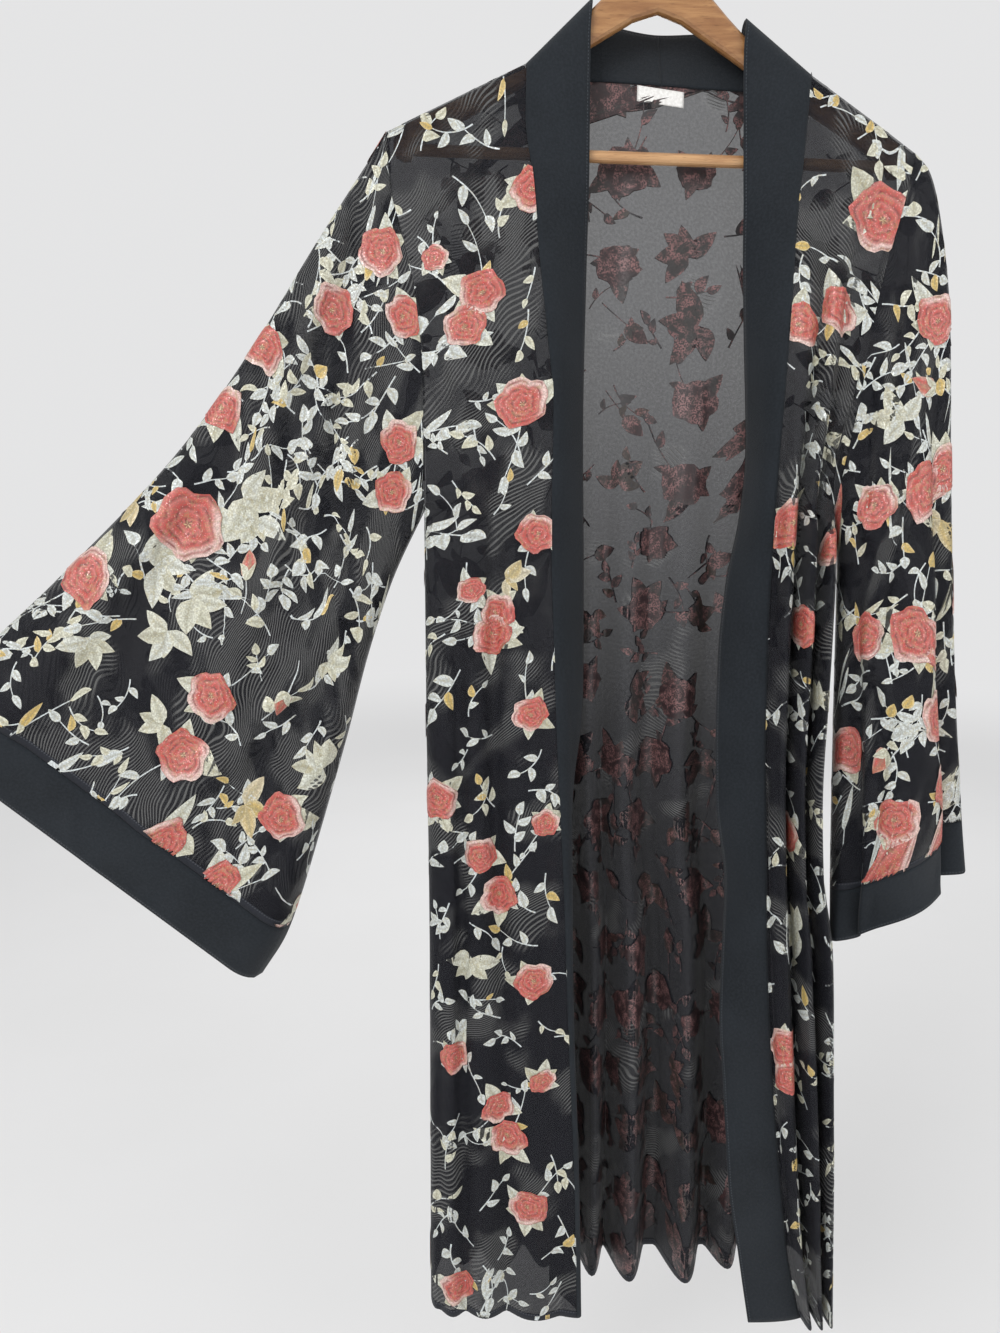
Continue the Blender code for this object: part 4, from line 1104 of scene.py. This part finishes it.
def sheer_mesh(name, cover, see_through, painted_shade_see_low, turn=0.0):
    """Black sheer mesh: ripples of pale lines, a narrow opaque hem with its stitches. It is seen
    through by one share at its top and by a smaller one lower down, a painted shade darkening it there."""
    made, tree, shader = finish(name, 0.62, Sheen_Weight=0.03, Sheen_Roughness=0.5, Specular_IOR_Level=0.2)
    place, edges = cloth_places(tree)
    turned = add(tree, "ShaderNodeVectorRotate", {"rotation_type": "Z_AXIS"}, Vector=place,
                 Angle=turn).outputs[0]
    weave = placed(tree, WEAVE, Place=place, Threads=620.0)
    ripple = placed(tree, RIPPLE, Place=turned, Cover=cover)
    hem = between(tree, edges["Y"], 0.0065, 0.0075, 1.0, 0.0)
    stitch = thread_wave(tree, parts(tree, place)["X"], 380)
    row = stripe(tree, edges["Y"], (0.0050, 0.0056), (0.0060, 0.0066))
    stitches = times(tree, row, between(tree, stitch, -0.2, 0.4))
    uneven = noise(tree, place, 7.0)
    base = mixed(tree, uneven, (0.0040, 0.0045, 0.0075, 1), (0.0095, 0.0100, 0.0145, 1))
    hazy = mixed(tree, times(tree, ripple["Haze"], 0.30), base, (0.030, 0.031, 0.034, 1))
    lined = mixed(tree, times(tree, ripple["Lines"], 0.70), hazy, (0.150, 0.150, 0.146, 1))
    hemmed = mixed(tree, hem, lined, (0.014, 0.016, 0.022, 1))
    sewn = mixed(tree, stitches, hemmed, (0.060, 0.064, 0.075, 1))
    flecked = mixed(tree, times(tree, weave["Speckle"], 0.06), sewn, (0.08, 0.08, 0.09, 1))
    tree.links.new(flecked, shader.inputs["Base Color"])
    # Painted shade: the mesh grows less see-through towards its bottom, so the coat darkens lower down.
    lower = between(tree, parts(tree, place)["Y"], -0.75, -0.10, 1.0 - painted_shade_see_low, 1.0 - see_through)
    lines = maths(tree, "MAXIMUM", hem, times(tree, ripple["Lines"], 0.9))
    dense = maths(tree, "MAXIMUM", lines, minus(tree, lower, times(tree, weave["Speckle"], 0.05)))
    tree.links.new(dense, shader.inputs["Alpha"])
    raised = plus(tree, weave["Height"], times(tree, plus(tree, hem, stitches), 1.6))
    bumped(tree, shader, raised, 0.5, 0.0004)
    return made


def plain_band(name):
    """Matte woven band with a row of stitches along its fold."""
    made, tree, shader = finish(name, 0.82, Sheen_Weight=0.06, Sheen_Roughness=0.6, Specular_IOR_Level=0.2)
    place, edges = cloth_places(tree)
    weave = placed(tree, WEAVE, Place=place, Threads=1100.0)
    dashes = between(tree, thread_wave(tree, parts(tree, place)["X"], 360), -0.3, 0.3)
    row = stripe(tree, edges["Y"], (0.0016, 0.0020), (0.0024, 0.0028))
    stitches = times(tree, row, dashes)
    worn = noise(tree, place, 14.0, 4.0)
    base = mixed(tree, between(tree, worn, 0.3, 0.7), (0.0065, 0.0092, 0.0125, 1), (0.0105, 0.0140, 0.0185, 1))
    speckled = mixed(tree, times(tree, weave["Speckle"], 0.14), base, (0.040, 0.048, 0.060, 1))
    sewn = mixed(tree, times(tree, stitches, 0.6), speckled, (0.075, 0.085, 0.100, 1))
    tree.links.new(sewn, shader.inputs["Base Color"])
    raised = minus(tree, plus(tree, weave["Height"], stitches), times(tree, row, 1.2))
    bumped(tree, shader, raised, 0.55, 0.0004)
    return made


def foil_print(name, tint=None):
    """Printed foil: the drawn ink, with grain, sparkling flakes lightened by a painted glint, and thin
    golden veins; tint gives its reverse.
    """
    made, tree, shader = finish(name, 0.5, Specular_IOR_Level=0.55)
    ink = add(tree, "ShaderNodeAttribute", {"attribute_name": "ink"}).outputs["Color"]
    where = object_place(tree)
    grain = noise(tree, where, 700.0, 3.0)
    patches = noise(tree, where, 90.0, 3.0, Distortion=1.2)
    veins = between(tree, maths(tree, "ABSOLUTE", minus(tree, patches, 0.5)), 0.0, 0.035, 1.0, 0.0)
    worn = times(tree, between(tree, grain, 0.40, 0.60, 1.0, 0.0), 0.42)
    darker = mixed(tree, worn, ink, (0.16, 0.13, 0.10, 1))
    veined = mixed(tree, times(tree, veins, 0.32), darker, (0.42, 0.34, 0.14, 1))
    # Real flakes of foil with a painted glint: specks of the colour lightened towards white.
    glitter_and_painted_glint = times(tree, between(tree, grain, 0.60, 0.72), 0.35)
    shown = mixed(tree, glitter_and_painted_glint, veined, (0.95, 0.95, 0.92, 1))
    if tint is not None:
        speckle = times(tree, between(tree, grain, 0.42, 0.58), between(tree, patches, 0.40, 0.62))
        shown = mixed(tree, speckle, mixed(tree, 0.97, shown, (0.016, 0.012, 0.014, 1)), tint)
    tree.links.new(shown, shader.inputs["Base Color"])
    tree.links.new(between(tree, grain, 0.3, 0.7, 0.62, 0.34), shader.inputs["Roughness"])
    tree.links.new(between(tree, grain, 0.55, 0.75, 0.0, 0.35), shader.inputs["Metallic"])
    bumped(tree, shader, grain, 0.25, 0.0003)
    return made


def satin_label(name):
    made, tree, shader = finish(name, 0.38, Sheen_Weight=0.4, Specular_IOR_Level=0.5)
    place, edges = cloth_places(tree)
    weave = placed(tree, WEAVE, Place=place, Threads=1500.0)
    border = between(tree, edges["X"], 0.0008, 0.0014, 1.0, 0.0)
    base = mixed(tree, weave["Speckle"], (0.70, 0.69, 0.66, 1), (0.84, 0.83, 0.81, 1))
    bordered = mixed(tree, times(tree, border, 0.4), base, (0.35, 0.34, 0.33, 1))
    tree.links.new(bordered, shader.inputs["Base Color"])
    bumped(tree, shader, weave["Height"], 0.4, 0.0003)
    return made


def varnished_wood(name, pale, dark, stretch, rings):
    """Varnished wood with its grain along the piece and darker end-to-end streaks."""
    made, tree, shader = finish(name, 0.34, Coat_Weight=0.35, Coat_Roughness=0.15)
    where = object_place(tree)
    long_way = add(tree, "ShaderNodeMapping", Vector=where, Scale=stretch).outputs[0]
    streaks = noise(tree, long_way, rings, 6.0, Roughness=0.62, Distortion=0.6)
    pores = noise(tree, long_way, rings * 7)
    base = mixed(tree, between(tree, streaks, 0.32, 0.68), dark, pale)
    pore_colour = tuple(c * 0.45 for c in dark[:3]) + (1,)
    pored = mixed(tree, between(tree, pores, 0.60, 0.74, 0.0, 0.5), base, pore_colour)
    tree.links.new(pored, shader.inputs["Base Color"])
    tree.links.new(between(tree, pores, 0.3, 0.7, 0.42, 0.28), shader.inputs["Roughness"])
    bumped(tree, shader, minus(tree, streaks, pores), 0.12, 0.0005)
    return made


def brushed_steel(name):
    made, tree, shader = finish(name, 0.24, Metallic=1.0)
    where = object_place(tree)
    worn = noise(tree, where, 260.0, 4.0)
    tree.links.new(mixed(tree, worn, (0.50, 0.50, 0.51, 1), (0.74, 0.74, 0.75, 1)), shader.inputs["Base Color"])
    tree.links.new(between(tree, worn, 0.3, 0.7, 0.16, 0.34), shader.inputs["Roughness"])
    bumped(tree, shader, worn, 0.08, 0.0002)
    return made


# Pieces

# Share of a panel's length where it starts, clear of the panel beyond the shoulder seam
PANEL_TOP = OVER_WOOD * (SEAM_GAP / 2) / (OVER_WOOD_DEEP * math.pi / 2)


def fine_rows(top):
    return [top] + even(0.0, OVER_WOOD, 6)[1:] + even(OVER_WOOD, ARMHOLE, 84)[1:] + even(ARMHOLE, 1.0, 156)[1:]


NECK_FIRST, NECK_LAST = across_at(NECK[0].x), across_at(NECK[-1].x)


def within_neck(across):
    return NECK_FIRST - 1e-9 <= across <= NECK_LAST + 1e-9


def fine_back_columns():
    wide = SIDE_RIGHT[0].x - SIDE_LEFT[0].x
    ends = [share / wide for share in (0.0, 0.0006, 0.0015, 0.003, 0.005, 0.008, 0.011, 0.015, 0.020)]
    return (ends + even(ends[-1], NECK_FIRST, 34)[1:] + even(NECK_FIRST, NECK_LAST, 78)[1:-1]
            + even(NECK_LAST, 1 - ends[-1], 34)[:-1] + [1 - share for share in reversed(ends)])


def lay_front(side):
    edges = (SEAM_LEFT, SIDE_LEFT) if side < 0 else (SEAM_RIGHT, SIDE_RIGHT)
    wide = abs(edges[0][8].x - edges[1][6].x)
    turns = [1 - SIDE_TURN * share / wide for share in (0.9, 0.7, 0.5, 0.33, 0.2, 0.1, 0.04, 0.0)]
    columns = even(0.0, 1 - SIDE_TURN * 1.2 / wide, 46 if side < 0 else 58) + turns
    name = "front_left" if side < 0 else "front_right"
    return lay(name, lambda a, t: front(side, a, t), columns, fine_rows(PANEL_TOP), -side)


def lay_back():
    def trimmed(across, t):
        return back(across, OVER_WOOD * 1.03 if within_neck(across) and t <= OVER_WOOD * 1.001 else t)

    return lay("back", trimmed, fine_back_columns(), fine_rows(PANEL_TOP), 1)


def lay_sleeve(name, sleeve, side):
    gap = SEAM_GAP * 1.2
    half = even(0.0, 0.5, 86)
    around = half + [1 - a for a in reversed(half[:-1])]
    ends = [cuff_share(sleeve, a % 1.0) for a in around]
    starts = [gap / (sleeve(a % 1.0, 1.0) - sleeve(a % 1.0, 0.0)).length for a in around]
    end_at = dict(zip(around, ends))
    start_at = dict(zip(around, starts))

    def body(a, share):
        return sleeve(a % 1.0, mix(0.0, end_at[a] - start_at[a] * 0.8, share))

    def cuff(a, share):
        return sleeve(a % 1.0, mix(end_at[a] + start_at[a] * 0.8, 1.0, share))

    return (lay("sleeve_" + name, body, around, even(0.0, 1.0, 118), side, closed=True),
            lay("cuff_" + name, cuff, around, even(0.0, 1.0, 12), side, closed=True))


def lay_band(side):
    name = "band_left" if side < 0 else "band_right"
    down = fine_rows(0.0)[::-1]
    along = [1 - t for t in down] + [1 + t for t in even(0.0, OVER_WOOD, 6)[1:]]
    along += even(1 + OVER_WOOD, 1.9998, 44)[1:]
    return lay(name, lambda w, a: band(side, w, a), along, even(0.0, 1.0, 12), side)


def label_place(u, v):
    share = (mix(LABEL_LEFT, LABEL_RIGHT, u) - SIDE_LEFT[0].x) / (SIDE_RIGHT[0].x - SIDE_LEFT[0].x)
    t = mix(OVER_WOOD * 1.1, OVER_WOOD + LABEL_LONG * LABEL_ROWS, v)
    spot = back(share, t)
    off = CLOTH / 2 + LABEL_CLOTH / 2 + SEAM_GAP
    return Vector((spot.x, spot.y - off, spot.z + 0.003 * (0.5 - u)))


def dress(made, node):
    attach(made, "root")
    if node:
        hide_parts(node)
    return made


fronts = {-1: lay_front(-1), 1: lay_front(1)}
back_laid = lay_back()
sleeve_left, cuff_left = lay_sleeve("left", spread_sleeve, -1)
sleeve_right, cuff_right = lay_sleeve("right", hanging_sleeve, 1)
bands = {-1: lay_band(-1), 1: lay_band(1)}
label = lay("label", label_place, even(0.0, 1.0, 16), even(0.0, 1.0, 8), -1)

front_mesh = sheer_mesh("sheer_mesh_fronts", 0.43, 0.46, 0.22, 0.15)
back_mesh = sheer_mesh("sheer_mesh_back", 0.36, 0.44, 0.12, -0.1)
left_mesh = sheer_mesh("sheer_mesh_spread_sleeve", 0.51, 0.34, 0.28, 0.9)
right_mesh = sheer_mesh("sheer_mesh_hanging_sleeve", 0.38, 0.30, 0.24, -0.3)
band_cloth = plain_band("plain_band")
foil = foil_print("printed_foil")
foil_back = foil_print("printed_foil_reverse", (0.200, 0.100, 0.098, 1))

seen = seen_places({"front_left": fronts[-1], "front_right": fronts[1], "sleeve_left": sleeve_left,
                    "sleeve_right": sleeve_right})
for side, name in ((-1, "left"), (1, "right")):
    laid = fronts[side]
    made = dress(sew("coat_front_" + name, laid, front_mesh, CLOTH), "front_" + name)
    inked = draw_print("print_front_" + name, laid, seen["front_" + name], [], foil, 11 + side)
    dress(inked, None)

columns = fine_back_columns()


def in_neck(r, c):
    return r <= 6 and within_neck(columns[c])


coat_back = dress(sew("coat_back", back_laid, back_mesh, CLOTH, in_neck), "back")
back_wide = max(across[-1] for across in back_laid.across)
outer = draw_print("print_back", back_laid, [], [(0.0, back_wide)], foil, 21)
inner = draw_print("print_back_reverse", back_laid, [], [(0.0, back_wide)], foil_back, 21, -1, 0.3)
dress(outer, None)
dress(inner, None)

for name, laid, cuff, cloth_finish, seed in (("left", sleeve_left, cuff_left, left_mesh, 31),
                                             ("right", sleeve_right, cuff_right, right_mesh, 41)):
    half = laid.across[0][-1] / 2
    made = dress(sew("coat_sleeve_" + name, laid, cloth_finish, CLOTH), "sleeve_" + name)
    inked = draw_print("print_sleeve_" + name, laid, seen["sleeve_" + name], [(half, half * 2)], foil, seed)
    dress(inked, None)
    ended = dress(sew("coat_cuff_" + name, cuff, band_cloth, CLOTH), "cuff_" + name)

for side, name in ((-1, "left"), (1, "right")):
    made = dress(sew("coat_band_" + name, bands[side], band_cloth, BAND_CLOTH), "band_" + name)
tag = dress(sew("neck_label", label, satin_label("satin_label"), LABEL_CLOTH), "label")

arms_wood = varnished_wood("arms_wood", (0.40, 0.205, 0.080, 1), (0.235, 0.100, 0.034, 1),
                           (0.10, 1.0, 1.0), 150.0)
bar_wood = varnished_wood("bar_wood", (0.54, 0.315, 0.150, 1), (0.36, 0.180, 0.075, 1),
                          (0.08, 1.0, 1.0), 210.0)
hook_steel = brushed_steel("hook_steel")
for node, surface in (("hanger_arms", arms_wood), ("trouser_bar", bar_wood), ("hook", hook_steel)):
    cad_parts[node].material_slots[0].material = surface


# Floor, light and camera

form = bmesh.new()
bmesh.ops.create_grid(form, x_segments=1, y_segments=1, size=60.0)
bmesh.ops.translate(form, verts=form.verts, vec=(0.0, 0.0, FLOOR_Z))
pale, pale_tree, pale_shader = finish("pale_floor", 0.9)
floor_place = object_place(pale_tree)
mottled = noise(pale_tree, floor_place, 3.0, 3.0)
off = add(pale_tree, "ShaderNodeVectorMath", {"operation": "LENGTH"}, i0=floor_place).outputs["Value"]
far = between(pale_tree, off, 2.2, 6.0)
near_colour = mixed(pale_tree, mottled, (0.70, 0.70, 0.70, 1), (0.73, 0.73, 0.735, 1))
pale_tree.links.new(mixed(pale_tree, far, near_colour, (0.0, 0.0, 0.0, 1)), pale_shader.inputs["Base Color"])
pale_tree.links.new(mixed(pale_tree, far, (0.0, 0.0, 0.0, 1), (0.78, 0.78, 0.785, 1)),
                    pale_shader.inputs["Emission Color"])
pale_shader.inputs["Emission Strength"].default_value = 1.0
pale_shader.inputs["Specular IOR Level"].default_value = 0.0
keep("pale_floor", form, pale)

world = bpy.data.worlds.new("soft_room")
bpy.context.scene.world = world
world.use_nodes = True
room = world.node_tree
seen_directly = add(room, "ShaderNodeLightPath").outputs["Is Camera Ray"]
room.links.new(mixed(room, seen_directly, (0.72, 0.72, 0.72, 1), (0.78, 0.78, 0.785, 1)),
               room.nodes["Background"].inputs["Color"])
bpy.context.scene.view_settings.view_transform = "Standard"

Light = namedtuple("Light", "name at aim size power")
for light in (Light("window", Vector((-1.9, -2.4, 0.9)), Vector((0.0, 0.0, -0.60)), 1.8, 62.0),
              Light("room_fill", Vector((2.3, -2.0, 0.2)), Vector((0.0, 0.0, -0.70)), 2.2, 26.0),
              Light("behind", Vector((0.4, 2.6, 0.8)), Vector((0.0, 0.0, -0.60)), 2.4, 30.0)):
    lamp = bpy.data.lights.new(light.name, "AREA")
    lamp.size = light.size
    lamp.energy = light.power
    lit = bpy.data.objects.new(light.name, lamp)
    lit.location = light.at
    lit.rotation_mode = "QUATERNION"
    lit.rotation_quaternion = (light.aim - light.at).to_track_quat("-Z", "Y")
    bpy.context.scene.collection.objects.link(lit)

eye = bpy.data.cameras.new("photo_camera")
eye.sensor_width = 36.0
eye.sensor_fit = "AUTO"
eye.lens = 36.0 * PHOTO_FOCUS / PHOTO_HIGH
eye.clip_start = 0.02
eye.clip_end = 200.0
camera = bpy.data.objects.new("photo_camera", eye)
camera.location = CAMERA_AT
camera.rotation_euler = (math.pi / 2 - CAMERA_DOWN, 0.0, 0.0)
bpy.context.scene.collection.objects.link(camera)
bpy.context.scene.camera = camera
